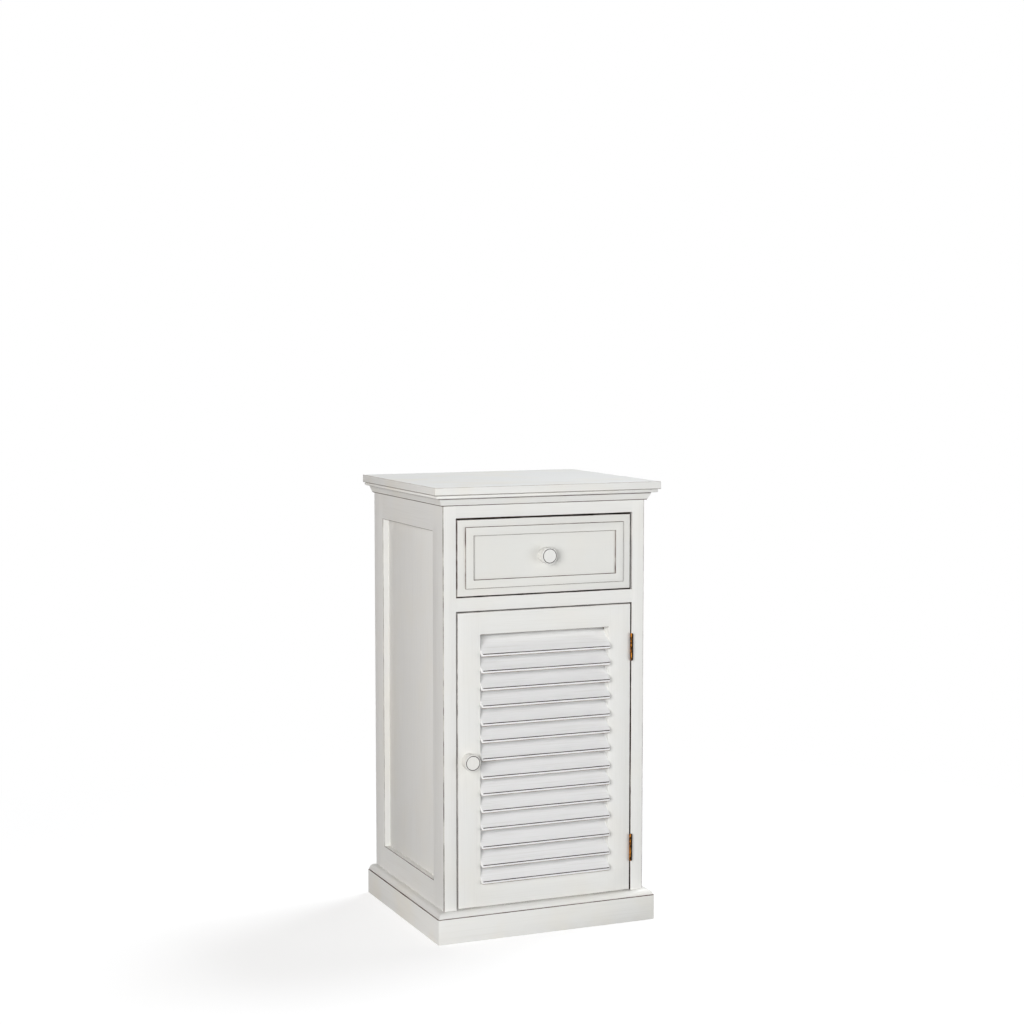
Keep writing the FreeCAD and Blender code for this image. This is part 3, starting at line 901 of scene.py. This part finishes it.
@dataclass
class Mouldings:
    """The top board, the cornice under it and the plinth, mitred round the front and sides."""

    sizes: CabinetSizes
    palette: Palette
    top_overhang: float = 24.0
    top_round: float = 1.2
    top_line: float = 0.4
    top_rub: float = 1.0
    bead_radius: float = 3.25
    bead_projection: float = 20.0
    fascia_top: float = 10.0
    fascia_foot: float = 3.5
    fascia_height: float = 14.5
    fascia_bulge: float = 0.8
    fascia_rub: Span = (1.9, 1.35)
    plinth_projection: float = 17.5
    plinth_flat: float = 48.0
    plinth_quirk: float = 2.0
    plinth_rise: float = 9.5
    plinth_rub: float = 1.1
    plinth_ease: Span = (0.5, 0.1)
    blunt_corner: float = 1.2
    smooth_deg: float = 50.0

    def build(self) -> None:
        """Build and place the top board and all six strips."""
        self.top_board()
        for run in Run:
            self.strip("cornice", run, *self.cornice_outline())
            self.strip("plinth", run, *self.plinth_outline())

    def top_board(self) -> None:
        """Build a board with rounded corners, glazed upper arrises, and lower ones rubbed dark, which also
        paints the shade where the board meets the cornice.
        """
        s = self.sizes
        reach = s.half_width + self.top_overhang
        y_span = (s.front - self.top_overhang, s.back)
        piece = Piece.block("top_board", (-reach, reach), y_span, (s.carcass_top, s.top))
        piece.dress(self.palette.coats(Grain.X, Batch.MOULDING))
        piece.bevel(self.top_round, Coat.PAINT, Arris(Grain.Z), segments=3)
        piece.bevel(self.top_line, Coat.GLAZED, lambda middle, way: same(middle.z, s.top))
        # The lower arrises are rubbed dark brown, partly wear and partly painted shade over the cornice
        piece.bevel(self.top_rub, Coat.RUBBED,
                    lambda middle, way: same(middle.z, s.carcass_top) and not same(middle.y, s.back))
        piece.place(Body.CARCASS)

    def cornice_outline(self) -> tuple[list[Span], list[Span]]:
        """Draw the cornice: a bead over a fascia that swells and slopes back.

        Returns:
            Corners as (projection, z), and the spans of z where the paint is darkened: painted shade just
            under the bead, and rubbed paint at the foot.
        """
        top = self.sizes.carcass_top
        radius = self.bead_radius
        soffit = top - 2 * radius
        foot = soffit - self.fascia_height
        bead = arc((self.bead_projection - radius, top - radius), radius, 90, -90, steps=12)
        upper, lower = (rub / self.fascia_height for rub in self.fascia_rub)
        fascia = []
        for share in (0.0, upper, 0.3, 0.5, 0.7, 1 - lower, 1.0):
            swell = 4 * self.fascia_bulge * share * (1 - share)
            reach = self.fascia_top + (self.fascia_foot - self.fascia_top) * share + swell
            fascia.append((reach, soffit - self.fascia_height * share))
        outline = [(0.0, top)] + bead + fascia + [(0.0, foot)]
        # The upper span, just under the bead, is painted shade; the lower one, at the foot, is rubbed
        return outline, [(soffit - self.fascia_rub[0], soffit), (foot, foot + self.fascia_rub[1])]

    def plinth_outline(self) -> tuple[list[Span], list[Span]]:
        """Draw the plinth: a flat face, a quirk and a quarter round.

        Returns:
            Corners as (projection, z), and the spans of z where the paint is rubbed.
        """
        flat = self.plinth_flat
        face = self.plinth_projection
        quirk = face - self.plinth_quirk
        across, down = self.plinth_ease
        board = [(0.0, 0.0), (face, 0.0), (face, flat - self.plinth_rub)]
        ease = [(face - across, flat - down), (quirk + across, flat)]
        ovolo = arc((quirk - self.plinth_rise, flat), self.plinth_rise, 0, 90, steps=12)
        return board + ease + ovolo + [(0.0, flat + self.plinth_rise)], [(flat - self.plinth_rub, flat)]

    def strip(self, name: str, run: Run, outline: list[Span], rubbed: list[Span]) -> None:
        """Sweep one strip, mitre its ends, blunt the corner and colour its rubbed and shaded lines.

        Args:
            name: The moulding's name.
            run: The face that it runs along.
            outline: Corners as (projection from the carcass, z).
            rubbed: Spans of z where the paint of the faces that look outwards is rubbed, and on the cornice
                one span is painted shade under the bead.
        """
        s = self.sizes
        reach = max(projection for projection, _ in outline)
        if run is Run.FRONT:
            signs = (-1, 1)
            waste = 1
            corners = [(-s.half_width - reach, s.front - p, z) for p, z in outline]
            sweep = (2 * (s.half_width + reach), 0.0, 0.0)
        else:
            signs = (Side[run.name].value,)
            waste = -1
            corners = [(signs[0] * (s.half_width + p), s.front - reach, z) for p, z in outline]
            sweep = (0.0, s.back - s.front + reach, 0.0)
        piece = Piece.swept(f"{name}_{run.value}", corners, sweep)
        for sign in signs:
            piece.trim((sign * s.half_width, s.front, 0.0), (waste * sign, waste, 0.0))
            tip = s.half_width + reach - self.blunt_corner
            piece.trim((sign * tip, s.front - reach, 0.0), (sign, -1.0, 0.0))
        piece.dress(self.palette.coats(Grain.X if run is Run.FRONT else Grain.Y, Batch.MOULDING))
        # A soffit looks straight down, so its normal has no outward part, give or take rounding
        least_outward = -0.01

        def is_rubbed(middle: Vector, normal: Vector) -> bool:
            """Whether a face along the strip looks outwards, or straight up or down, within a span of rubbed
            paint or painted shade.
            """
            outward, along = (-normal.y, normal.x) if run is Run.FRONT else (abs(normal.x), normal.y)
            return (outward > least_outward and abs(along) < ALONG
                    and any(low <= middle.z <= high for low, high in rubbed))

        piece.coat(Coat.RUBBED, is_rubbed)
        piece.place(Body.CARCASS, smooth_deg=self.smooth_deg)


@dataclass
class CarcassFrame:
    """Posts, rails and side panels, flush with each other and eased only where an edge is free."""

    sizes: CabinetSizes
    palette: Palette
    front_post_depth: float = 53.0
    rear_post_depth: float = 51.0
    front_rail_depth: float = 22.0
    side_rail_depth: float = 22.0
    corner_round: float = 1.2
    corner_steps: int = 3
    opening_round: float = 0.6
    panel_rub: float = 0.8
    jamb_paint: float = 5.5
    panel_ease: float = 0.5
    panel_recess: float = 12.0

    @property
    def panel_face(self) -> float:
        """How far the faces of the side panels are from the middle of the cabinet."""
        return self.sizes.half_width - self.panel_recess

    def build(self) -> None:
        """Build and place posts, side panels and rails."""
        s = self.sizes
        for side in Side:
            self.front_post(side)
            self.rear_post(side)
            self.side_panel(side)
            self.side_rail(side, Level.TOP, (s.panel_z[1], s.carcass_top))
            self.side_rail(side, Level.BOTTOM, (s.rail_underside, s.panel_z[0]))
        self.front_rail(Level.TOP, (s.drawer_opening[1], s.carcass_top))
        self.front_rail(Level.MIDDLE, (s.door_opening[1], s.drawer_opening[0]))
        self.front_rail(Level.BOTTOM, (s.rail_underside, s.door_opening[0]))

    def front_post(self, side: Side) -> None:
        """Build a front post: eased corner, stained near black inside as painted shade for the gaps, with
        paint on the drawer's jamb near the front.

        Args:
            side: The post's side.
        """
        s = self.sizes
        outer = side.value * s.half_width
        inner = side.value * s.opening_half
        rear = s.front + self.front_post_depth
        jamb = s.front + self.jamb_paint
        piece = Piece.block(f"post_front_{side.word}", ordered(outer, inner), (s.front, rear),
                            (0.0, s.carcass_top))
        piece.dress(self.palette.coats(Grain.Z))
        piece.split(Grain.Z, (s.door_opening[0], *s.panel_z, s.door_opening[1], *s.drawer_opening))
        piece.split(Grain.Y, (jamb,))
        piece.split(Grain.X, (side.value * self.panel_face,))
        # The inner faces take the near-black stain, which is painted shade in the gaps round the door and the
        # drawer
        piece.coat(Coat.STAIN, lambda middle, normal: (
            same(middle.x, inner) or normal.y > ALONG and abs(middle.x) < self.panel_face))
        piece.coat(Coat.PAINT, lambda middle, normal: (
            same(middle.x, inner) and middle.y < jamb and middle.z > s.door_opening[1]))
        piece.bevel(self.corner_round, Coat.EASED, Arris(Grain.Z, x=(outer,), y=(s.front,)),
                    self.corner_steps)
        piece.bevel(self.opening_round, Coat.EASED,
                    Arris(Grain.Z, x=(inner,), y=(s.front,), within=(s.door_opening, s.drawer_opening)))
        piece.bevel(self.opening_round, Coat.PAINT,
                    Arris(Grain.Z, x=(outer,), y=(rear,), within=(s.panel_z,)))
        piece.place(Body.CARCASS)

    def rear_post(self, side: Side) -> None:
        """Build a rear post: eased back corner and a lightly rubbed arris at the panel.

        Args:
            side: The post's side.
        """
        s = self.sizes
        outer = side.value * s.half_width
        inner = side.value * s.opening_half
        face = s.back - self.rear_post_depth
        piece = Piece.block(f"post_rear_{side.word}", ordered(outer, inner), (face, s.back),
                            (0.0, s.carcass_top))
        piece.dress(self.palette.coats(Grain.Z))
        piece.split(Grain.Z, s.panel_z)
        piece.split(Grain.X, (side.value * self.panel_face,))
        piece.coat(Coat.STAIN, lambda middle, normal: (
            same(middle.x, inner) or normal.y < -ALONG and abs(middle.x) < self.panel_face))
        piece.bevel(self.corner_round, Coat.EASED, Arris(Grain.Z, x=(outer,), y=(s.back,)), self.corner_steps)
        piece.bevel(self.opening_round, Coat.EASED,
                    Arris(Grain.Z, x=(outer,), y=(face,), within=(s.panel_z,)))
        piece.place(Body.CARCASS)

    def side_panel(self, side: Side) -> None:
        """Build a thin panel, painted outside and bare inside, with eased edges that slip into the grooves.

        Args:
            side: The panel's side.
        """
        name = f"side_panel_{side.word}"
        low, high = solid_box(name)
        piece = Piece.block(name, (low.x, high.x), (low.y, high.y), (low.z, high.z))
        piece.dress(self.palette.coats(Grain.Z))
        piece.coat(Coat.BARE, lambda middle, normal: side.value * normal.x < -ALONG)
        piece.bevel(self.panel_ease, Coat.PAINT, lambda middle, way: True)
        piece.place(Body.CARCASS)

    def front_rail(self, level: Level, z_span: Span) -> None:
        """Build a front rail with rubbed arrises at the openings above and below it.

        Args:
            level: The rail's level.
            z_span: Bottom and top of the rail.
        """
        s = self.sizes
        piece = Piece.block(f"front_rail_{level.value}", (-s.opening_half, s.opening_half),
                            (s.front, s.front + self.front_rail_depth), z_span)
        piece.dress(self.palette.coats(Grain.X))
        # The back, the top and the underside are stained near black, which paints the shade in the gaps, but
        # the sill under the door is painted
        piece.coat(Coat.STAIN, lambda middle, normal: (
            normal.y > ALONG or abs(normal.z) > ALONG and not same(middle.z, s.door_opening[0])))
        free = tuple(z for z in z_span if z not in (s.carcass_top, s.rail_underside))
        piece.bevel(self.opening_round, Coat.EASED, Arris(Grain.X, y=(s.front,), z=free))
        piece.place(Body.CARCASS)

    def side_rail(self, side: Side, level: Level, z_span: Span) -> None:
        """Build a side rail with a rubbed arris at the panel.

        Args:
            side: The rail's side.
            level: The rail's level.
            z_span: Bottom and top of the rail.
        """
        s = self.sizes
        outer = side.value * s.half_width
        inner = side.value * (s.half_width - self.side_rail_depth)
        piece = Piece.block(f"side_rail_{side.word}_{level.value}", ordered(outer, inner), s.panel_y, z_span)
        piece.dress(self.palette.coats(Grain.Y))
        piece.split(Grain.X, (side.value * self.panel_face,))
        piece.coat(Coat.STAIN, lambda middle, normal: (
            same(middle.x, inner) or abs(normal.z) > ALONG and abs(middle.x) < self.panel_face))
        piece.bevel(self.panel_rub, Coat.RUBBED, Arris(Grain.Y, x=(outer,), z=s.panel_z))
        piece.place(Body.CARCASS)


@dataclass
class TurnedKnob:
    """A stout turned knob with a ring quirk in its flat end."""

    palette: Palette
    base_radius: float = 15.2
    foot_ease: float = 0.4
    waist_radius: float = 14.9
    waist_height: float = 7.0
    rim_radius: float = 15.7
    rim_height: float = 13.5
    rim_round: float = 1.4
    projection: float = 20.0
    ring_radius: float = 13.2
    ring_width: float = 1.4
    ring_floor: float = 0.4
    ring_depth: float = 0.9
    facets: int = 80
    smooth_deg: float = 50.0

    def outline(self) -> list[Span]:
        """Draw half the knob.

        Returns:
            Points as (radius, height), from the middle of the foot to the middle of the end.
        """
        top = self.projection
        base, waist, rim = self.base_radius, self.waist_radius, self.rim_radius
        # Halfway to the waist from either end, a point two thirds of the way in makes the stem hollow
        stem = [(0.0, 0.0), (base - self.foot_ease, 0.0), (base, self.foot_ease),
                ((base + 2 * waist) / 3, self.waist_height / 2), (waist, self.waist_height),
                ((rim + 2 * waist) / 3, (self.waist_height + self.rim_height) / 2), (rim, self.rim_height)]
        lip = arc((rim - self.rim_round, top - self.rim_round), self.rim_round, 0, 90, steps=6)
        half, floor = self.ring_width / 2, self.ring_floor / 2
        depth = top - self.ring_depth
        ring = [(self.ring_radius + half, top), (self.ring_radius + floor, depth),
                (self.ring_radius - floor, depth), (self.ring_radius - half, top)]
        return stem + lip + ring + [(self.ring_radius / 2, top), (0.0, top)]

    def build(self, node_name: str, body: Body) -> None:
        """Turn the knob and place it where its solid is.

        Args:
            node_name: The solid that it stands for.
            body: The body that it moves with.
        """
        low, high = solid_box(node_name)
        x, z = (low.x + high.x) / 2, (low.z + high.z) / 2
        piece = Piece.turned(node_name, self.outline(), (x, high.y, z), self.facets)
        piece.dress(self.palette.coats(Grain.Z))

        def in_ring(middle: Vector, normal: Vector) -> bool:
            """Whether a face is in the ring quirk of the end."""
            off_ring = abs(math.hypot(middle.x - x, middle.z - z) - self.ring_radius)
            return off_ring < self.ring_width / 2 and middle.y < low.y + self.ring_depth

        # The ring quirk takes the near-black coat, which darkens the groove
        piece.coat(Coat.WORN, in_ring)
        piece.place(body, "painted_knob", self.smooth_deg)


@dataclass
class DrawerFront:
    """The drawer front: one board with a raised band, and its knob."""

    palette: Palette
    side_inset: float = 15.5
    level_inset: float = 13.8
    band_width: float = 16.7
    band_height: float = 3.5
    edge_round: float = 0.8
    band_rub: float = 0.8
    end_paint: float = 6.0

    def build(self) -> None:
        """Build and place the front and the knob."""
        low, high = solid_box("drawer_front")
        face = low.y + self.band_height
        end = face + self.end_paint
        middle_x, middle_z = (low.x + high.x) / 2, (low.z + high.z) / 2
        # Half sizes of the board and of the band's two outlines
        edge = ((high.x - low.x) / 2, (high.z - low.z) / 2)
        outer = (edge[0] - self.side_inset, edge[1] - self.level_inset)
        inner = (outer[0] - self.band_width, outer[1] - self.band_width)

        def in_band(middle: Vector, normal: Vector) -> bool:
            """Whether a face of the front lies between the two outlines of the band."""
            across, up = abs(middle.x - middle_x), abs(middle.z - middle_z)
            return (normal.y < -ALONG and across < outer[0] and up < outer[1]
                    and (across > inner[0] or up > inner[1]))

        def on_outline(middle: Vector, way: Vector, *halves: Span) -> bool:
            """Tell whether an edge lies along an outline.

            Args:
                middle: Its middle, in millimetres.
                way: Its direction.
                halves: Half the width and height of each outline.

            Returns:
                True if it lies along one of them.
            """
            upright = abs(way.z) > ALONG and same(abs(middle.x - middle_x), *[half[0] for half in halves])
            level = abs(way.x) > ALONG and same(abs(middle.z - middle_z), *[half[1] for half in halves])
            return upright or level

        piece = Piece.block("drawer_front", (low.x, high.x), (face, high.y), (low.z, high.z))
        piece.dress(self.palette.coats(Grain.X, Batch.DRAWER))
        piece.split(Grain.Y, (end,))
        # All but the front takes the near-black stain, which is painted shade in the gaps round the drawer
        piece.coat(Coat.STAIN, lambda middle, normal: normal.y > -ALONG)
        # The sides near the front take the lightly sanded brown, which is painted shade in the side gaps
        piece.coat(Coat.EASED, lambda middle, normal: abs(normal.x) > ALONG and middle.y < end)
        piece.choose_faces(lambda middle, normal: normal.y < -ALONG)
        bpy.ops.mesh.inset(thickness=self.level_inset * MM)
        narrowing = outer[0] / (edge[0] - self.level_inset)
        bpy.ops.transform.resize(value=(narrowing, 1.0, 1.0),
                                 center_override=(middle_x * MM, face * MM, middle_z * MM))
        bpy.ops.mesh.inset(thickness=self.band_width * MM)
        piece.leave()
        piece.choose_faces(in_band)
        bpy.ops.mesh.extrude_region_move(TRANSFORM_OT_translate={"value": (0.0, -self.band_height * MM, 0.0)})
        piece.leave()
        piece.coat(Coat.EASED, lambda middle, normal: middle.y < face and abs(normal.x) > ALONG)
        piece.coat(Coat.RUBBED, lambda middle, normal: middle.y < face and abs(normal.z) > ALONG)
        piece.bevel(self.band_rub, Coat.RUBBED,
                    lambda middle, way: same(middle.y, low.y) and on_outline(middle, way, outer, inner))
        piece.bevel(self.edge_round, Coat.EASED,
                    lambda middle, way: same(middle.y, face) and on_outline(middle, way, edge))
        piece.place(Body.DRAWER)
        TurnedKnob(self.palette).build("drawer_knob", Body.DRAWER)


@dataclass
class LouvredDoor:
    """The door: stiles, rails, fixed slats and a knob."""

    sizes: CabinetSizes
    palette: Palette
    thickness: float = 22.0
    stile_width: float = 46.0
    top_rail: float = 43.0
    bottom_rail: float = 44.1
    slat_count: int = 14
    slat_angle_deg: float = 40.0
    slat_thickness: float = 6.2
    nose_height: float = 6.0
    nose_end_round: float = 1.8
    nose_end_steps: int = 4
    arris_rub: float = 1.7
    foot_rub: float = 1.2
    slat_smooth_deg: float = 35.0
    edge_round: float = 0.8
    inner_round: float = 0.6
    rail_rub: float = 0.8

    @property
    def z_span(self) -> Span:
        """Bottom and top of the door."""
        low, high = solid_box("door_stile_left")
        return (low.z, high.z)

    @property
    def louvre_half(self) -> float:
        """Half the width between the stiles."""
        return self.sizes.leaf_half - self.stile_width

    @property
    def louvre_z(self) -> Span:
        """Bottom and top of the space between the rails, at the front."""
        return (self.z_span[0] + self.bottom_rail, self.z_span[1] - self.top_rail)

    def build(self) -> None:
        """Build and place every piece of the door."""
        for side in Side:
            self.stile(side)
        rise = self.thickness * math.tan(math.radians(self.slat_angle_deg))
        self.rail(Level.TOP, (self.louvre_z[1], self.z_span[1]), 0.0)
        self.rail(Level.BOTTOM, (self.z_span[0], self.louvre_z[0]), rise)
        self.slats()
        TurnedKnob(self.palette).build("door_knob", Body.DOOR)

    def stile(self, side: Side) -> None:
        """Build a stile, rubbed round the edge of the door and eased at the slats.

        Args:
            side: The stile's side.
        """
        s = self.sizes
        outer = side.value * s.leaf_half
        inner = side.value * self.louvre_half
        piece = Piece.block(f"door_stile_{side.word}", ordered(outer, inner),
                            (s.front, s.front + self.thickness), self.z_span)
        piece.dress(self.palette.coats(Grain.Z))
        piece.split(Grain.Z, self.louvre_z)
        piece.bevel(self.inner_round, Coat.PAINT,
                    Arris(Grain.Z, x=(inner,), y=(s.front,), within=(self.louvre_z,)))
        piece.bevel(self.edge_round, Coat.EASED, lambda middle, way: (
            same(middle.y, s.front) and (same(middle.x, outer) or same(middle.z, *self.z_span))))
        piece.place(Body.DOOR)

    def rail(self, level: Level, z_span: Span, rise: float) -> None:
        """Build a rail of the door, rubbed along its edges, with a dark line of painted shade under the top
        rail.

        Args:
            level: The rail's level.
            z_span: Bottom and top at the front.
            rise: How far its upper edge climbs to the back, as the slats do.
        """
        s = self.sizes
        low, high = z_span
        back = s.front + self.thickness
        outline = [(s.front, low), (s.front, high), (back, high + rise), (back, low)]
        corners = [(-self.louvre_half, y, z) for y, z in outline]
        piece = Piece.swept(f"door_rail_{level.value}", corners, (2 * self.louvre_half, 0.0, 0.0))
        piece.dress(self.palette.coats(Grain.X))
        eased = (Coat.EASED, self.inner_round)
        # Under the top rail the arris is rubbed dark brown, partly wear and partly painted shade
        below = (Coat.RUBBED, self.rail_rub) if level is Level.TOP else eased
        for z, (coat, width) in ((low, below), (high, eased)):
            piece.bevel(width, coat, Arris(Grain.X, y=(s.front,), z=(z,)))
        piece.place(Body.DOOR)

    def slat_outline(self, tip: float, arris: float, back: float) -> list[Span]:
        """Draw the section of a slat with sharp edges.

        Args:
            tip: Y of its nose.
            arris: Z of its upper front arris.
            back: Y of its back edge.

        Returns:
            Corners as (y, z).
        """
        slope = math.radians(self.slat_angle_deg)
        drop = self.slat_thickness / math.cos(slope)
        heel = tip + (drop - self.nose_height) / math.tan(slope)
        back_top = arris + (back - tip) * math.tan(slope)
        foot = arris - self.nose_height
        return [(tip, arris), (tip, foot), (heel, foot), (back, back_top - drop), (back, back_top)]

    def slats(self) -> None:
        """Build all the slats: one is modelled, and the others are copies with meshes of their own."""
        half = self.louvre_half
        names = [f"louvre_{number:02d}" for number in range(1, self.slat_count + 1)]
        low, high = solid_box(names[0])
        arris = low.z + self.nose_height
        corners = [(-half, y, z) for y, z in self.slat_outline(low.y, arris, high.y)]
        first = Piece.swept(names[0], corners, (2 * half, 0.0, 0.0))
        first.dress(self.palette.coats(Grain.X, Batch.SLAT))
        first.bevel(self.nose_end_round, Coat.PAINT, Arris(Grain.Z, y=(low.y,)), self.nose_end_steps)
        nose_back = low.y + self.nose_end_round + CLOSE
        first.bevel(self.arris_rub, Coat.WORN, lambda middle, way: (
            same(middle.z, arris) and middle.y < nose_back))
        # A warm brown line along the foot of the nose: painted shade, where the nose shades the slat below
        first.bevel(self.foot_rub, Coat.GLAZED, lambda middle, way: (
            same(middle.z, low.z) and middle.y < nose_back and abs(way.y) < ALONG))
        copies = [first.copy(name, solid_box(name)[0].z - low.z) for name in names[1:]]
        for piece in [first] + copies:
            piece.place(Body.DOOR, smooth_deg=self.slat_smooth_deg)


@dataclass
class Hardware:
    """Solids that keep their own shape and get a finish: the inside, the drawer box and the metalwork."""

    palette: Palette

    def build(self) -> None:
        """Dress each solid that stays."""
        p = self.palette
        finishes = {
            p.bare[Grain.Z]: ("back_panel",),
            p.bare[Grain.X]: ("floor_board", "shelf", "drawer_back", "drawer_bottom"),
            p.bare[Grain.Y]: ("drawer_runner_left", "drawer_runner_right", "drawer_side_left",
                              "drawer_side_right"),
            p.brass: ("hinge_frame_leaves", "hinge_door_leaves", "hinge_pins", "hinge_frame_screws",
                      "hinge_door_screws"),
            p.steel: ("shelf_pins", "catch_strike", "drawer_knob_screw", "door_knob_screw"),
            p.nylon: ("magnetic_catch",),
        }
        for material, names in finishes.items():
            for name in names:
                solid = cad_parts[name]
                solid.data.materials.clear()
                solid.data.materials.append(material)
                log.info("%s: %s", name, material.name)


# The studio

@dataclass(frozen=True)
class Softbox:
    """A square lamp that faces the cabinet.

    Attributes:
        name: The lamp's name.
        azimuth_deg: Its bearing from the front of the cabinet, to the right when positive.
        distance: How far it stands from the middle of the cabinet, in metres.
        height: Its height in metres.
        size: Its side in metres.
        level: How bright a white face turned to it looks by its light alone, where 1 is white.
        tint: Its colour.
    """

    name: str
    azimuth_deg: float
    distance: float
    height: float
    size: float
    level: float
    tint: str = "#FFFFFF"

    def build(self, target: Vector) -> None:
        """Place the lamp and aim it.

        Args:
            target: The place that it faces.
        """
        bearing = math.radians(self.azimuth_deg)
        spot = Vector((self.distance * math.sin(bearing), -self.distance * math.cos(bearing), self.height))
        reach = target - spot
        data = bpy.data.lights.new(self.name, "AREA")
        data.size = self.size
        data.color = linear(self.tint)[:3]
        data.energy = self.level * math.pi ** 2 * reach.length_squared
        lamp = bpy.data.objects.new(self.name, data)
        lamp.location = spot
        lamp.rotation_euler = reach.to_track_quat("-Z", "Y").to_euler()
        bpy.context.scene.collection.objects.link(lamp)


@dataclass
class Studio:
    """White floor and backdrop, softboxes and the camera of the photograph."""

    camera_mm: Point = (-1526.34, -3593.0, 1115.36)
    yaw_deg: float = -23.1197
    tilt_deg: float = 4.8603
    focal_px: float = 2008.15
    image_px: float = 1024.0
    sensor_mm: float = 36.0
    view_reach: float = 200.0
    white: str = "#FFFFFF"
    ambient: float = 0.12
    floor_size: float = 60.0
    floor_bounce: float = 0.3
    floor_shown: float = 0.5
    floor_lift: float = 0.65
    fade: Span = (0.6, 1.6)
    softboxes: tuple[Softbox, ...] = (
        Softbox("key_front_left", -41.0, 4.5, 1.35, 2.3, 0.75),
        Softbox("fill_front_right", 38.0, 2.4, 0.4, 1.4, 0.33),
        Softbox("kicker_back_right", 112.0, 3.5, 6.0, 2.5, 0.66, "#F8FBFF"),
        Softbox("warm_fill_left", -85.0, 2.4, 0.9, 1.0, 0.03, "#FFB87C"),
    )

    def build(self) -> None:
        """Set up camera, lamps, world and floor."""
        self.camera()
        middle = (CAD_BOX[0] + CAD_BOX[1]) / 2
        for softbox in self.softboxes:
            softbox.build(middle)
        self.world()
        self.floor()
        bpy.context.scene.view_settings.view_transform = "Standard"

    def camera(self) -> None:
        """Set up a camera that is fitted to the edges of the photograph."""
        data = bpy.data.cameras.new("photo_camera")
        data.sensor_width = self.sensor_mm
        data.lens = self.focal_px / self.image_px * self.sensor_mm
        data.clip_end = self.view_reach
        camera = bpy.data.objects.new("photo_camera", data)
        camera.location = [c * MM for c in self.camera_mm]
        camera.rotation_euler = (math.radians(90 - self.tilt_deg), 0.0, math.radians(self.yaw_deg))
        bpy.context.scene.collection.objects.link(camera)
        bpy.context.scene.camera = camera

    def seen(self, tree: Tree) -> bpy.types.Node:
        """Tell the rays that show a backdrop from those that light the object.

        Args:
            tree: The node tree of the backdrop.

        Returns:
            A node that gives 1 for rays of the camera, reflections and refractions, and 0 for the rest.
        """
        rays = add_node(tree, "LightPath").outputs
        direct = add_node(tree, "Math", {0: rays["Is Camera Ray"], 1: rays["Is Glossy Ray"]},
                          operation="MAXIMUM")
        return add_node(tree, "Math", {0: direct, 1: rays["Is Transmission Ray"]}, operation="MAXIMUM")

    def world(self) -> None:
        """Set up even white light, and plain white where it is seen."""
        world = bpy.data.worlds.new("white_studio")
        bpy.context.scene.world = world
        world.use_nodes = True
        tree = world.node_tree
        tree.nodes.clear()
        strength = add_node(tree, "MapRange",
                            {"Value": self.seen(tree), "To Min": self.ambient, "To Max": 1.0})
        light = add_node(tree, "Background", {"Color": linear(self.white), "Strength": strength})
        add_node(tree, "OutputWorld", {"Surface": light})

    def floor(self) -> None:
        """Lay a floor that keeps the cabinet's shadow, and is white where it is lit or far away."""
        clear_selection()
        bpy.ops.mesh.primitive_plane_add(size=self.floor_size, location=(0.0, 0.0, 0.0))
        floor = bpy.context.object
        floor.name = "studio_floor"
        # Matt paper: white with no sheen, and only a soft grey shadow near the cabinet
        material = bpy.data.materials.new("paper_matt")
        material.use_nodes = True
        tree = material.node_tree
        tree.nodes.clear()
        seen = self.seen(tree)
        place = add_node(tree, "TexCoord").outputs["Object"]
        radius = add_node(tree, "VectorMath", {0: place}, operation="LENGTH").outputs["Value"]
        reach = {"Value": radius, "From Min": self.fade[0], "From Max": self.fade[1]}
        shown = add_node(tree, "MapRange", {**reach, "To Min": self.floor_shown, "To Max": 0.0})
        grey = add_node(tree, "MapRange", {"Value": seen, "To Min": self.floor_bounce, "To Max": shown})
        lifted = add_node(tree, "MapRange", {**reach, "To Min": self.floor_lift, "To Max": 1.0})
        lift = add_node(tree, "MapRange", {"Value": seen, "To Max": lifted})
        paper = add_node(tree, "BsdfDiffuse", {"Color": grey})
        glow = add_node(tree, "Emission", {"Color": linear(self.white), "Strength": lift})
        both = add_node(tree, "AddShader", {0: paper, 1: glow})
        add_node(tree, "OutputMaterial", {"Surface": both})
        floor.data.materials.append(material)


def main() -> None:
    """Build the studio and every sub-assembly in order."""
    logging.basicConfig(level=logging.INFO, format="%(name)s: %(message)s")
    Studio().build()
    palette = Palette()
    sizes = CabinetSizes()
    Hardware(palette).build()
    Mouldings(sizes, palette).build()
    CarcassFrame(sizes, palette).build()
    DrawerFront(palette).build()
    LouvredDoor(sizes, palette).build()


if __name__ == "__main__":
    main()
